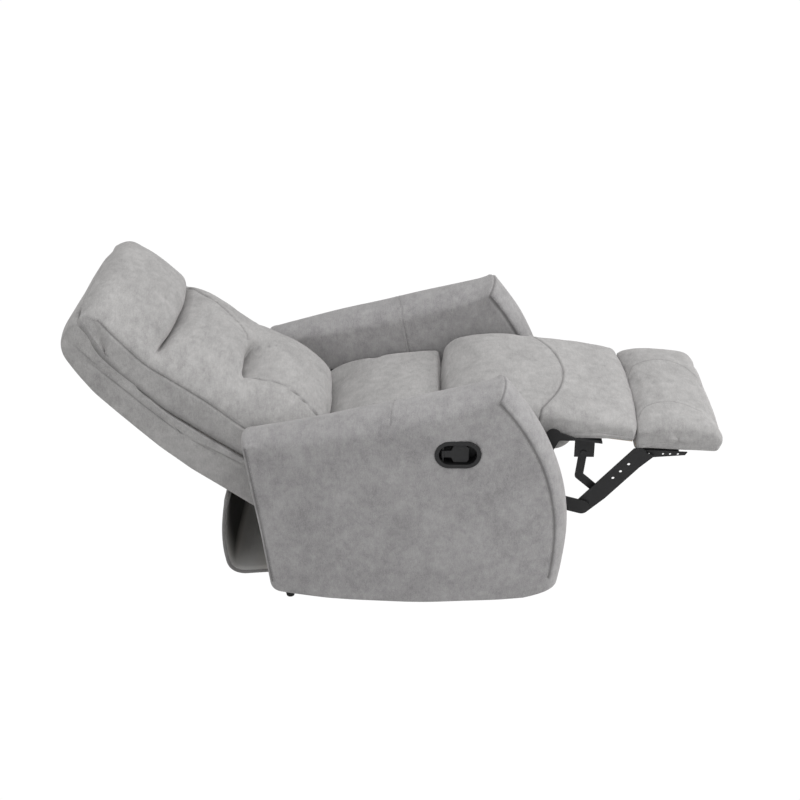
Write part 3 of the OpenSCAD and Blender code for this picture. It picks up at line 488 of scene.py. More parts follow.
suede = clothMaterial("suede", (0.27, 0.264, 0.263, 1), (0.48, 0.472, 0.466, 1), (0.95, 1.0, 0.6, 1.3), 0.5)
armSuede = clothMaterial("arm_suede", (0.242, 0.236, 0.24, 1), (0.425, 0.416, 0.417, 1),
                         (0.95, 1.0, 0.6, 1.5), 0.5)
thread = clothMaterial("thread", (0.36, 0.35, 0.345, 1), (0.5, 0.49, 0.485, 1), (0.2, 0.2, 0.2, 0.6), 0.3)
lining = liningMaterial()
blackSteel = paintedSteel("black_powder_coat", (0.009, 0.009, 0.0095, 1), (0.02, 0.02, 0.021, 1), 0.55)
zincSteel = platedSteel("zinc_plate", (0.42, 0.43, 0.44, 1), (0.62, 0.62, 0.6, 1), 0.3)
springWire = platedSteel("spring_wire", (0.16, 0.16, 0.165, 1), (0.3, 0.3, 0.31, 1), 0.38)
blackPlastic = mouldedPlastic("black_plastic", (0.008, 0.008, 0.0085, 1), (0.016, 0.016, 0.017, 1), 0.4)
blackRubber = mouldedPlastic("black_rubber", (0.012, 0.012, 0.012, 1), (0.024, 0.024, 0.024, 1), 0.7)
plywood = plywoodMaterial()
slotMaterials = {"suede_cloth": suede, "lining_cloth": lining, "black_steel": blackSteel,
                 "zinc_steel": zincSteel, "spring_wire": springWire, "black_plastic": blackPlastic,
                 "black_rubber": blackRubber, "plywood": plywood}
for part in frame["record"]["subparts"]:
    nodes[part["node"]].data.materials.clear()
    nodes[part["node"]].data.materials.append(slotMaterials[part["material_slot"]])
nodes["handle_pin"].data.materials[0] = blackSteel
print("materials done")


# Camera at the photograph's place, lights, floor
camera = bpy.data.objects.new("camera", bpy.data.cameras.new("camera"))
bpy.context.scene.collection.objects.link(camera)
lookDown, lookAside = math.radians(27.0), math.radians(1.19)
camera.location = (-3.2718, -0.070, 2.0926)
camera.rotation_euler = (math.pi / 2 - lookDown, 0, -math.pi / 2 + lookAside)
camera.data.lens = 61.83
camera.data.sensor_width = 36
camera.data.clip_end = 100
bpy.context.scene.camera = camera


def areaLight(name, place, target, size, power):
    # A rectangle of light that looks from its place to the target
    lamp = bpy.data.lights.new(name, "AREA")
    lamp.shape = "RECTANGLE"
    lamp.size, lamp.size_y = size
    lamp.energy = power
    light = bpy.data.objects.new(name, lamp)
    bpy.context.scene.collection.objects.link(light)
    light.location = place
    way = np.asarray(target, float) - np.asarray(place, float)
    rise = math.atan2(way[2], math.hypot(way[0], way[1]))
    light.rotation_euler = (math.pi / 2 + rise, 0, math.atan2(way[1], way[0]) - math.pi / 2)


areaLight("over_light", (-0.4, -0.5, 3.4), (0, 0, 0.4), (3.2, 3.2), 66)
areaLight("foot_light", (-0.6, -3.6, 1.9), (0, 0, 0.4), (2.4, 1.8), 60)
areaLight("camera_side_light", (-3.6, 1.3, 1.8), (0, 0, 0.4), (2.6, 2.0), 25)

world = bpy.data.worlds.new("studio")
bpy.context.scene.world = world
world.use_nodes = True
world.node_tree.nodes["Background"].inputs["Color"].default_value = (1.0, 1.0, 1.0, 1)
world.node_tree.nodes["Background"].inputs["Strength"].default_value = 0.34

# The camera sees the floor as bright white, and the chair stands in the light of a pale one
floorGraph = Graph("pale_floor")
seen = floorGraph.node("LightPath")[0]
pale = floorGraph.node("BsdfDiffuse", None, {"Color": (0.8, 0.8, 0.8, 1)})[0]
bright = floorGraph.node("Emission", None, {"Color": (1, 1, 1, 1), "Strength": 1.02})[0]
mixed = floorGraph.node("MixShader", None, {0: seen, 1: pale, 2: bright})[0]
floorGraph.node("OutputMaterial", None, {0: mixed})
floorHalf, floorLevel = 30, -0.001
floorCorners = [(x * floorHalf, y * floorHalf, floorLevel) for x, y in ((-1, -1), (1, -1), (1, 1), (-1, 1))]
floor = newMesh("floor", floorCorners, [[0, 1, 2, 3]], floorGraph.material)
bpy.context.scene.view_settings.view_transform = "Standard"
print("camera and lights done")


# Cushions: a side outline carried across the chair, drawn in and rounded at its sides
def cushionGrid(outline, cushion):
    half, edge = cushion["half"], cushion["edge"]
    front, top, rear = cushion["crown"]
    loop = evenly(softened(evenly(outline, cushion["corners"], True), 3), cushion["columns"], True)
    middle = (loop.max(axis=0) + loop.min(axis=0)) / 2
    size = (loop.max(axis=0) - loop.min(axis=0)) / 2
    ahead = unit(np.roll(loop, -1, axis=0) - np.roll(loop, 1, axis=0))
    outward = np.stack([ahead[:, 1], -ahead[:, 0]], axis=1)
    if ((loop - middle) * outward).sum() < 0:
        outward = -outward
    # Places across the chair: close together round the two edges, and even between
    angles = np.radians(np.linspace(0, 90, 9)[:-1])
    rounded = edge * (1 - np.cos(angles)) - half
    places = np.concatenate([rounded, np.linspace(edge - half, 0, cushion["rows"] // 2 + 1)])
    places = np.concatenate([places, -places[-2::-1]])
    past = np.maximum(0, np.abs(places) - (half - edge)) / edge
    inset = edge * cushion["draw"] * (1 - np.sqrt(np.maximum(0, 1 - past ** 2)))
    # The crown pushes the front, the top and the rear out, and leaves the underside flat
    swell = np.maximum(0, 1 - (places / half) ** 2) ** 0.8
    share = (loop - middle) / size
    above = np.clip((share[:, 1] + 0.7) / 0.6, 0, 1)
    lengthwise = front * np.maximum(0, share[:, 0]) ** 3 + rear * np.maximum(0, -share[:, 0]) ** 3
    upwards = top * np.maximum(0, share[:, 1]) * np.maximum(0, 1 - share[:, 0] ** 2) ** 2
    push = np.stack([lengthwise * above, upwards], axis=1)
    drawn = outward * np.array([cushion.get("ends", 1.0), 1.0])
    flat = loop[None] - inset[:, None, None] * drawn[None] + swell[:, None, None] * push[None]
    grid = np.concatenate([np.broadcast_to(places[:, None, None], flat.shape[:2] + (1,)), flat], axis=2)
    caps = []
    for row in (grid[0], grid[-1]):
        core = row.mean(axis=0)
        caps.append(np.array([core + (row - core) * k for k in (0.12, 0.35, 0.58, 0.8, 0.93)]))
    grid = np.concatenate([caps[0], grid, caps[1][::-1]])
    # The rows are spaced again so that their count suits the simulation's thinning
    keep = 1 + (len(grid) - 1) // cushion["thin"] * cushion["thin"]
    at = np.linspace(0, len(grid) - 1, keep)
    low = np.minimum(np.floor(at).astype(int), len(grid) - 2)
    part = (at - low)[:, None, None]
    grid = grid[low] * (1 - part) + grid[low + 1] * part
    return np.stack([grid[..., 0], -grid[..., 1], grid[..., 2]], axis=-1) * mm


# The chair's own measures, in millimetres, as [forward, up] in the side view
seatTilt = math.tan(math.radians(15))
deckZ = 301
deckClear = 0.4
hinge = np.array([-192.0, 370.0])
fold = np.array([390.0, 457.0])
lean = math.radians(54)

# How the cloth simulation fills a pad, and how the thread lies
padCloth = {"thin": 4, "stiff": 12, "bend": 0.6, "pressure": 3.0, "shrink": -0.01, "frames": 14, "cap": 0.006,
            "smooth": 2, "opened": 0.05}
stitchStyle = {"pitch": 0.0052, "thick": 0.0011, "offset": 0.0042}


def deck(forward):
    return deckZ + forward * seatTilt


def sideView(grid):
    # Forward and up of each point, in millimetres
    return -grid[..., 1] / mm, grid[..., 2] / mm


def arcPoints(centre, radius, start, end, count):
    turn = np.radians(np.linspace(start, end, count))
    return np.stack([centre[0] + radius * np.cos(turn), centre[1] + radius * np.sin(turn)], axis=1)


def finished(name, grid, seams, body, replaced, settings):
    # Without a body, the pieces are attached to none
    lift = unevenness(grid, settings["waveSize"], settings["seed"]) * settings["wave"]
    grid = grid + gridNormals(grid) * lift[..., None]
    grid, lines, paintedShade = sewn(grid, seams)
    piece = closedGridMesh(name, grid, settings.get("cloth", suede), settings.get("fans", True))
    # Painted shade from the seams and from the piece's own shade setting
    setPaintedShade(piece, np.maximum(paintedShade, settings.get("shade", 0)))
    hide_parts(*replaced)
    made = [piece]
    threaded = [(line, seam) for line, seam in lines if seam["threads"]]
    if threaded:
        rows = threadMesh(name + "_stitches", stitches(threaded, grid, stitchStyle), stitchStyle, thread)
        made.append(rows)
    if body:
        for part in made:
            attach(part, body)
    print(name, "done")
    return made


def bend(a, b, c, count):
    # A curve from a to c that leans towards b
    a, b, c = (np.asarray(p, float) for p in (a, b, c))
    t = np.linspace(0, 1, count)[:, None]
    return (1 - t) ** 2 * a + 2 * t * (1 - t) * b + t ** 2 * c


def sideLine(points, perSpan=8):
    # Points [across, forward, up] in millimetres become a smooth line in the chair's metres
    line = throughPoints(points, perSpan)
    return np.stack([line[:, 0], -line[:, 1], line[:, 2]], axis=1) * mm


def mirrored(line):
    return line * np.array([-1.0, 1.0, 1.0])


def cutAway(piece, outline, low, high):
    # Takes a prism out of a piece: its outline in [forward, up] millimetres, carried from low to high across
    count = len(outline)
    ring = np.asarray(outline, float) * mm
    ends = [np.column_stack([np.full(count, x), -ring[:, 0], ring[:, 1]]) for x in (low * mm, high * mm)]
    order = list(range(count))
    faces = [order, [count + k for k in order[::-1]]]
    faces += [[k, count + k, count + (k + 1) % count, (k + 1) % count] for k in order]
    cutter = newMesh("cutter", np.vstack(ends), faces, piece.data.materials[0])
    cutter.data.polygons.foreach_set("use_smooth", np.zeros(len(faces), bool))
    work = bmesh.new()
    work.from_mesh(cutter.data)
    bmesh.ops.recalc_face_normals(work, faces=work.faces)
    work.to_mesh(cutter.data)
    work.free()
    cut = piece.modifiers.new("cut", "BOOLEAN")
    cut.operation, cut.solver, cut.object = "DIFFERENCE", "EXACT", cutter
    done = bpy.data.meshes.new_from_object(piece.evaluated_get(bpy.context.evaluated_depsgraph_get()))
    piece.modifiers.clear()
    piece.data = done
    bpy.data.objects.remove(cutter)


# Arms: the same bowed skin as the frame's, with a rounded border and a panel seam round its front
armLook = {"columns": 620, "face": 46, "turns": 15, "faceEnd": 0.985, "gap": 262.0, "end": 100.0, "bow": 38.0,
           "length": 798.0, "soft": 0.7, "centre": (47.0, 287.5)}
seamMarks = {"peak": (264, 600), "rear": -300, "rearTop": 478, "rearLow": 80}
# Painted shade on the arms' inner side behind the seat: its strength and where it fades in
rearShadeLook = {"dark": 1.6, "inner": (0.272, 0.266), "rear": (0.15, 0.21), "low": (0.4, 0.34)}
handleCut = {"half": 35.4, "run": 20.0, "at": (149, 482), "across": (-420, -362)}


def armOutline():
    # Rows of [forward, up, depth of the border, softness]. The two last are given at both ends of each curve
    curves = [
        (bend((413, 82), (478, 405), (264, 646), 40), (34, 34), (0, 0)),  # front
        (bend((256, 646), (240, 641), (216, 635), 6), (31, 30), (0, 1)),  # behind the peak
        (bend((-366, 495), (-383, 491), (-381, 474), 12), (30, 12), (1, 0)),  # rear top corner
        (bend((-326, 78), (-323, 62), (-303, 59), 10), (12, 9), (0, 0)),  # rear low corner
        (bend((-190, 50), (-60, 48), (120, 48), 10), (9, 9), (0, 0)),  # bottom
        (bend((325, 52), (403, 58), (412, 76), 10), (9, 34), (0, 0)),  # front low corner
    ]
    rows = []
    for curve, depth, soft in curves:
        count = len(curve)
        rows.append(np.column_stack([curve, np.linspace(*depth, count), np.linspace(*soft, count)]))
    return np.vstack(rows)


def armGrid():
    # Each row is the outline drawn in: out over the outer face, round the border and back in over the inner face.
    # A row has its turn round the border, its share of the way to the face's middle, and its side
    loop = evenly(softened(armOutline(), 1), armLook["columns"], True)
    centre = np.array(armLook["centre"])
    inward = unit(centre - loop[:, :2])
    depth = loop[:, 2:3] * (1 + armLook["soft"] * loop[:, 3:4])
    face = np.linspace(armLook["faceEnd"], 0, armLook["face"])
    turns = np.linspace(90, 0, armLook["turns"])
    rows = [(90.0, k, 1) for k in face[:-1]] + [(a, 0.0, 1) for a in turns]
    rows += [(a, 0.0, -1) for a in turns[::-1][1:]] + [(90.0, k, -1) for k in face[::-1][1:]]
    grid = []
    for turn, share, side in rows:
        angle = math.radians(turn)
        core = loop[:, :2] + inward * (depth * (1 - math.cos(angle)))
        at = core + (centre - core) * share
        along = (at[:, 0] - centre[0]) / (armLook["length"] / 2)
        outer = armLook["gap"] + armLook["end"] + armLook["bow"] * np.maximum(0, 1 - along ** 2)
        ridge = (armLook["gap"] + outer) / 2
        x = ridge + ((outer if side > 0 else armLook["gap"]) - ridge) * math.sin(angle)
        grid.append(np.stack([x, -at[:, 0], at[:, 1]], axis=1))
    return np.array(grid) * mm


crossSeam = sideLine([(262, 24, 440), (262, 12, 505), (264, 4, 545), (274, 0, 572), (290, -2, 578),
                      (315, -4, 576), (340, -7, 570), (362, -9, 562), (380, -10, 548)])


def armSeams(arm):
    # Border seams run along the grid's own rows: up the outer side, across the top and down the inner side
    outer = armLook["face"] - 1
    rim = outer + armLook["turns"] - 1
    inner = rim + armLook["turns"] - 1
    forward, up = sideView(arm[rim])
    peak, peakUp = seamMarks["peak"]
    atRear = forward < seamMarks["rear"]
    tip = int(np.argmax((up > peakUp) & (forward < peak)))
    rearTop = int(np.argmax(atRear & (up < seamMarks["rearTop"])))
    rearLow = int(np.flatnonzero(atRear & (up > seamMarks["rearLow"]))[-1])
    front = np.vstack([arm[outer, 3:tip:5], arm[outer:inner:5, tip], arm[inner, tip:3:-5]])
    front, rear = softened(front, 2, False), arm[outer, rearTop:rearLow]
    return [{"line": front, "width": 0.0026, "depth": 0.0022, "threads": [1], "offset": 0.005, "samples": 900},
            {"line": rear, "width": 0.0024, "depth": 0.002, "threads": [1], "samples": 500}]


def handleOutline():
    # A slot with half-round ends
    half, run, (forward, up) = handleCut["half"], handleCut["run"], handleCut["at"]
    turn = np.radians(np.linspace(-90, 90, 25))
    front = np.stack([forward + run + half * np.cos(turn), up + half * np.sin(turn)], axis=1)
    rear = np.stack([forward - run - half * np.cos(turn), up - half * np.sin(turn)], axis=1)
    return np.vstack([front, rear])


for side, name in ((1, "left_arm"), (-1, "right_arm")):
    arm = armGrid() if side > 0 else mirrored(armGrid())
    across = {"line": crossSeam if side > 0 else mirrored(crossSeam), "width": 0.0018, "depth": 0.0013,
              "dark": 0.4, "threads": [-1, 1], "offset": 0.004}
    # Painted shade: the inner side behind the seat is darkened to near black, where it lies in shade
    rearShade = (rearShadeLook["dark"] * ramp(*rearShadeLook["inner"], np.abs(arm[..., 0]))
                 * ramp(*rearShadeLook["rear"], arm[..., 1]) * ramp(*rearShadeLook["low"], arm[..., 2]))
    armPiece = finished(name + "_cover", arm, armSeams(arm) + [across], "carriage", [name],
                        {"seed": 11 if side > 0 else 12, "wave": 0.0013, "waveSize": 0.11, "cloth": armSuede,
                         "shade": rearShade})[0]
    if side < 0:
        cutAway(armPiece, handleOutline(), *handleCut["across"])

# Rear seat cushion, with its top given as [forward, height over the deck], and its two rear corners raised
seatLook = {"half": 249.2, "edge": 16, "crown": (0, 8, 0), "corners": 40, "columns": 304, "rows": 88,
            "draw": 0.4, "thin": 4}
seatCorner = {"rise": 15, "side": (0.170, 0.232), "rear": (0.06, 0.19), "top": (0.26, 0.34)}
seatTop = ((60, 141), (15, 148), (-40, 154), (-85, 155), (-120, 150), (-152, 141), (-184, 128), (-199, 116))
seatOutline = [(-191, deck(-191) + deckClear), (111.5, deck(112) + deckClear), (111.5, deck(112) + 129)]
seatOutline += [(forward, deck(forward) + rise) for forward, rise in seatTop]
seat = cushionGrid(seatOutline, seatLook)
cornerShare = (ramp(*seatCorner["side"], np.abs(seat[..., 0])) * ramp(*seatCorner["rear"], seat[..., 1])
               * ramp(*seatCorner["top"], seat[..., 2]))
seat[..., 1:] += seatCorner["rise"] * mm * cornerShare[..., None]


def seatHeld(grid):
    # Held places: near the deck, and the rear face
    forward, up = sideView(grid)
    return (up < deck(forward) + 30) | (forward < -186)


seat = relaxed(seat, seatHeld, padCloth)
finished("seat_cushion_cover", seat, [], "seat", ["seat_cushion"],
         {"seed": 21, "wave": 0.0016, "waveSize": 0.07})

# Chaise: the thigh bolster and the middle pad are one upholstered piece over the pad hinge
chaiseLook = {"half": 238, "edge": 26, "crown": (17, 10, 0), "corners": 64, "columns": 512, "rows": 88,
              "draw": 0.75, "thin": 4, "ends": 0.35}
padBoard = {"forward": 442, "up": 447, "fall": math.tan(math.radians(7.3)), "clear": 0.6}
rearF, knuckle = 112.8, 54.0
bolsterTop = [(rearF + (390 - rearF) * a, 457 + knuckle * b)
              for a, b in ((0.04, 0.6), (0.14, 0.96), (0.31, 1.13), (0.48, 1.17), (0.64, 1.15), (0.89, 1.06))]
padTop = [(390 + 220 * a, 457 + knuckle * b)
          for a, b in ((0.15, 0.95), (0.245, 0.89), (0.42, 0.79), (0.627, 0.65), (0.8, 0.53), (0.9, 0.45),
                       (0.943, 0.32), (0.945, 0.05))]


def padUnder(forward):
    # Just under the middle pad's board
    return padBoard["up"] - (forward - padBoard["forward"]) * padBoard["fall"] - padBoard["clear"]


chaiseOutline = np.vstack([
    [(rearF, deck(rearF) + deckClear), (rearF, 457)], bolsterTop, padTop,
    [(592, padUnder(592)), (520, padUnder(520)), (452, padUnder(452))],
    arcPoints(fold, knuckle, -10, -112, 10), [(319, 410), (318, deck(318) + deckClear)],
])
chaise = cushionGrid(chaiseOutline, chaiseLook)


def chaiseHeld(grid):
    # Held places: near the deck and the board, round the hinge, and the rear face
    forward, up = sideView(grid)
    under = (up < deck(forward) + 24) | (up < padUnder(forward) + 12) & (forward > 430)
    barrel = (np.hypot(forward - fold[0], up - fold[1]) < knuckle + 4) & (up < 470)
    return under | barrel | (forward < rearF + 4) & (up < 440)


chaise = relaxed(chaise, chaiseHeld, padCloth)
swing = np.linspace(-1, 1, 41)
chaiseSeam = np.stack([swing * 222, 430 - 70 * swing ** 2, np.full(len(swing), 516.0)], axis=1)
chaiseSeam = np.vstack([[(-236, 352, 486)], chaiseSeam, [(236, 352, 486)]])
chaiseSeams = [{"line": sideLine(chaiseSeam, 4), "width": 0.0026, "depth": 0.0026, "threads": [1],
                "offset": 0.0055}]
chaisePieces = finished("chaise_cover", chaise, chaiseSeams, None, ["thigh_bolster", "mid_pad_cushion"],
                        {"seed": 31, "wave": 0.0014, "waveSize": 0.08})
for soft in chaisePieces:
    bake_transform(soft)

# Foot pad, with its side outline as shares of its length and thickness
footLook = {"half": 235, "edge": 24, "crown": (8, 10, 6), "corners": 56, "columns": 304, "rows": 156,
            "draw": 0.75, "thin": 4, "ends": 0.35}
footLength, footThick, footFall = 198, 58, math.tan(math.radians(1.7))
footRear = np.array([600.0, 422.4 - 0.2])
footShares = [(0, 0.03), (1.07, 0), (1.1, 0.2), (1.1, 0.45), (1.04, 0.78), (0.97, 0.93), (0.88, 0.98),
              (0.66, 1.02), (0.44, 1.04), (0.27, 1.02), (0.15, 0.97), (0.06, 0.9), (0.01, 0.76)]
footOutline = [footRear + (footLength * a, footThick * b - footLength * min(1, a) * footFall)
               for a, b in footShares]
footOutline[:2] = [footRear + (-1, -15), footRear + (206, -21)]
foot = cushionGrid(footOutline, footLook)


def footHeld(grid):
    # Held places: near the board, and the rear face
    forward, up = sideView(grid)
    return (up < footRear[1] - (forward - 600) * footFall + 8) | (forward < 604)


foot = relaxed(foot, footHeld, padCloth)
footTracks = ([(70, 604, 478), (105, 639, 484), (123, 708, 482), (100, 765, 477), (53, 793, 470)],
              [(-170, 604, 478), (-141, 630, 483), (-127, 683, 483), (-134, 727, 481), (-160, 768, 476)])
footSeams = [{"line": sideLine(track), "width": 0.0024, "depth": 0.0009, "dark": 0.45, "threads": []}
             for track in footTracks]
finished("foot_pad_cover", foot, footSeams, "foot_pad", ["foot_pad_cushion"],
         {"seed": 41, "wave": 0.0014, "waveSize": 0.07})
print("pads done")


# Back: lumbar, middle and head cushions are one cover with a tuck and a deep crease across it.
# Each row is [depth, up] in the middle, the same place without tuck or crease, the side seam's place,
# and the tuck's share
backRuns = np.array([
    (-87, -40, -87, -40, -90, -38, 1), (-60, -32, -60, -32, -72, -34, 1), (-22, -6, -22, -6, -62, -22, 1),
    (12, 6, 12, 6, -52, -6, 1), (42, 18, 42, 18, -47, 8, 1), (67, 44, 67, 44, -42, 36, 1),
    (79, 80, 79, 80, -38, 76, 1), (83, 122, 83, 125, -35, 122, 1), (80, 160, 82, 168, -34, 166, 1),
    (70, 200, 74, 210, -33, 209, 1), (54, 233, 66, 245, -32, 245, 1), (36, 256, 60, 267, -31, 267, 1),
    (15, 271, 56, 280, -30, 279, 1), (-6, 281, 54, 287, -29, 286, 1), (30, 286, 53, 292, -28, 292, 1),
    (54, 291, 52, 301, -28, 300, 1), (62, 308, 52, 315, -27, 314, 1), (63, 338, 53, 341, -27, 340, 1),
    (59, 376, 53, 378, -28, 377, 0.5), (53, 418, 50, 419, -29, 419, 0), (44, 452, 46, 453, -30, 453, 0),
    (29, 471, 42, 471, -31, 470, 0), (-14, 484, 40, 485, -31, 484, 0), (20, 483, 40, 494, -31, 493, 0),
    (42, 490, 42, 504, -30, 502, 0), (56, 508, 47, 518, -29, 516, 0), (62, 538, 57, 543, -25, 541, 0),
    (67, 577, 65, 580, -17, 578, 0), (67, 618, 67, 618, -10, 616, 0), (61, 650, 61, 650, -4, 644, 0),
    (54, 684, 54, 684, -1, 671, 0), (34, 706, 34, 706, -3, 689, 0), (8, 714, 8, 714, -8, 699, 0),
    (-15, 705, -15, 705, -15, 705, 0), (-24, 686, -24, 686, -37, 692, 0), (-38, 640, -38, 640, -62, 655, 0),
    (-63, 581, -63, 581, -81, 590, 0), (-85, 482, -85, 482, -97, 462, 0), (-87, 400, -87, 400, -106, 400, 0),
    (-87, 281, -87, 281, -103, 281, 0), (-87, 120, -87, 120, -98, 120, 0),
], float)
backLook = {"half": 249.0, "columns": 588, "places": 97, "power": (2.25, 2.4), "taper": 26.0,
            "tuckAt": -52.0, "tuckHalf": 84.0, "creaseHalf": 222.0, "corner": 9.0, "bulge": 2.5,
            "tuckHang": (12, 1.4, 283, 42), "creaseClimb": (12, 1.3, 485, 30),
            "spine": ((-10, 300, 500, 600), (-64, -67, -66, -62)),
            "caps": (0.0, 0.15, 0.3, 0.45, 0.6, 0.7, 0.79, 0.87, 0.93, 0.97)}
backCloth = {**padCloth, "stiff": 10, "bend": 0.5, "pressure": 3.5, "shrink": -0.015, "cap": 0.007}


def backRow(x, runs):
    # One row across place x: from the side seam's place up to the middle's along a rounded, boxy curve
    share = min(1.0, abs(x) / backLook["half"])
    offTuck = (x - backLook["tuckAt"]) / backLook["tuckHalf"]
    tuck = math.exp(-abs(offTuck) ** 6)
    crease = math.exp(-(abs(x) / backLook["creaseHalf"]) ** 8)
    mask = (runs[:, 6] * tuck + (1 - runs[:, 6]) * crease)[:, None]
    place = runs[:, 2:4] + (runs[:, 0:2] - runs[:, 2:4]) * mask
    # The tuck hangs and the crease climbs towards the sides
    drop, most, level, width = backLook["tuckHang"]
    place[:, 1] -= drop * min(most, offTuck ** 2) * bell(runs[:, 1], level, width)
    climb, most, level, width = backLook["creaseClimb"]
    place[:, 1] += climb * min(most, (x / 200) ** 2) * bell(runs[:, 1], level, width)
    low, high = backLook["power"]
    power = low + (high - low) * ramp(470, 520, runs[:, 1])
    rise = np.maximum(0, 1 - share ** power) ** (1 / power)
    place = runs[:, 4:6] + (place - runs[:, 4:6]) * rise[:, None]
    # The head's upper corners are rounded off, and its front is a little narrower
    place[:, 1] -= (backLook["corner"] * ramp(170, 249, abs(x)) ** 2 * ramp(600, 700, place[:, 1])
                    * ramp(-45, -6, place[:, 0]))
    narrow = backLook["taper"] / backLook["half"] * ramp(470, 560, place[:, 1]) * ramp(-20, 30, place[:, 0])
    return np.column_stack([x * (1 - narrow), place])


def backGrid():
    # Rows from side to side, closer together near the sides. Each side's caps draw its row in to a spine
    runs = evenly(throughPoints(backRuns, 12, True), backLook["columns"], True)
    turn = np.sin(np.linspace(-math.pi / 2, math.pi / 2, backLook["places"]))
    grid = np.array([backRow(x, runs) for x in backLook["half"] * np.sign(turn) * np.abs(turn) ** 0.92])
    caps = []
    for row in (grid[0], grid[-1]):
        high = np.clip(row[:, 2], -10, 600)
        spine = np.column_stack([row[:, 0], np.interp(high, *backLook["spine"]), high])
        rings = [spine + (row - spine) * k for k in backLook["caps"]]
        for k, ring in zip(backLook["caps"], rings):
            ring[:, 0] += np.sign(row[0, 0]) * backLook["bulge"] * (1 - k ** 4)
        caps.append(np.array(rings))
    return np.concatenate([caps[0], grid, caps[1][::-1]])


def leaned(depth, up):
    # Depth and up in the back's own leaning frame to forward and up of the chair, all in millimetres
    return (hinge[0] + depth * math.cos(lean) - up * math.sin(lean),
            hinge[1] + depth * math.sin(lean) + up * math.cos(lean))


def unleaned(grid):
    # The way back, from a grid in metres
    forward, up = sideView(grid)
    forward, up = forward - hinge[0], up - hinge[1]
    return forward * math.cos(lean) + up * math.sin(lean), up * math.cos(lean) - forward * math.sin(lean)


def inBack(points):
    # [across, depth, up] of the back in millimetres to the chair's metres
    points = np.asarray(points, float)
    forward, rise = leaned(points[..., 1], points[..., 2])
    return np.stack([points[..., 0], -forward, rise], axis=-1) * mm


def backLine(points):
    return inBack(throughPoints(points, 8))


# The dark gap between the side gusset and the shell: [up, depth] of its bottom, and how its shade fades
gapTrack = np.array([(183, -101), (281, -105), (407, -109), (467, -99), (538, -91), (592, -81), (644, -67),
                     (668, -57), (690, -38), (704, -11)])
gapLook = {"dark": 0.85, "width": 11, "wider": 13, "widerUp": (560, 650), "side": (225, 240), "top": (694, 676)}
backLocal = backGrid()
backUp = backLocal[..., 2]
fromGap = np.maximum(0, backLocal[..., 1] - np.interp(backUp, gapTrack[:, 0], gapTrack[:, 1]))
gapWidth = gapLook["width"] + gapLook["wider"] * ramp(*gapLook["widerUp"], backUp)
gapShade = (gapLook["dark"] * bell(fromGap, 0, gapWidth) * ramp(*gapLook["side"], np.abs(backLocal[..., 0]))
            * ramp(*gapLook["top"], backUp))
back = inBack(backLocal)


def backHeld(grid):
    # Held places: the rear, the bottoms of the crease and the tuck, and the sides
    depth, up = unleaned(grid)
    across = grid[..., 0] / mm
    crease = (np.abs(up - 487) < 13) & (np.abs(across) < 215) & (depth < 46)
    tuck = (np.abs(up - 281) < 16) & (np.abs(across - backLook["tuckAt"]) < backLook["tuckHalf"]) & (depth < 50)
    return (depth < -8) | crease | tuck | (np.abs(across) > 238)


back = relaxed(back, backHeld, backCloth)

# The side seam runs up each side to the head's corner
sideSeam = [(-249, -52, 0), (-249, -41, 45), (-249, -35, 122), (-249, -33, 209), (-249, -29, 286),
            (-249, -27, 340), (-249, -29, 419), (-249, -31, 480), (-249, -29, 516), (-249, -17, 578),
            (-249, -9, 618), (-247, -4, 642), (-243, -2, 657)]
backSeams = [
    {"line": backLine([(side * x, depth, up) for x, depth, up in sideSeam]), "width": 0.0026, "depth": 0.002,
     "dark": 0.55, "threads": [-side]} for side in (1, -1)
]
# The panel seams are not the same on both sides
backSeams += [
    {"line": backLine([(203, 5, 489), (151, 34, 449), (116, 48, 407), (90, 52, 365), (76, 51, 331),
                       (52, 58, 312), (12, 60, 300)]), "width": 0.003, "depth": 0.0042, "threads": [1]},
    {"line": backLine([(-136, 42, 272), (-139, 50, 250), (-138, 57, 225), (-134, 65, 189), (-139, 69, 139),
                       (-148, 66, 103), (-152, 62, 74), (-156, 50, 44)]), "width": 0.0026, "depth": 0.003,
     "dark": 0.9, "threads": [1]},
    {"line": backLine([(24, 52, 268), (36, 63, 244), (48, 71, 221)]), "width": 0.002, "depth": 0.0014,
     "dark": 0.5, "threads": []},
]
finished("back_cushion_cover", back, backSeams, "back", ["lumbar_cushion", "mid_cushion", "head_pillow"],
         {"seed": 51, "wave": 0.0016, "waveSize": 0.07, "shade": gapShade, "fans": False})

# Shell behind the cushions, hollow for the frame and springs, as shares of its depth and height
shellLook = {"half": 250, "edge": 18, "crown": (0, 0, 0), "corners": 90, "columns": 480, "rows": 76,
             "draw": 0.3, "thin": 4, "corner": 7.0, "face": -87, "deep": 118, "high": 706, "hollowHalf": 229}
shellShares = [(0.07, -0.085), (1.02, -0.085), (1.05, 0.2), (1.08, 0.36), (1.02, 0.5), (0.93, 0.6),
               (0.84, 0.7), (0.74, 0.8), (0.6, 0.87), (0.47, 0.93), (0.36, 0.972), (0.2, 1.0), (-0.1, 1.012),
               (-0.4, 1.008), (-0.52, 0.998), (-0.5, 0.985), (-0.38, 0.972), (-0.23, 0.94), (-0.12, 0.885),
               (-0.02, 0.82), (0.06, 0.73), (0.13, 0.62), (0.19, 0.56), (0.185, 0.4), (0.15, 0.26), (0.11, 0.1)]
hollowShares = [(0.85, 0), (0.85, 0.43), (0.69, 0.636), (0.5, 0.778), (0.36, 0.87), (-0.8, 0.91), (-0.8, 0)]


def shellOutline(shares):
    deep, high = np.array(shares, float).T
    return np.stack(leaned(shellLook["face"] - shellLook["deep"] * deep, shellLook["high"] * high), axis=1)


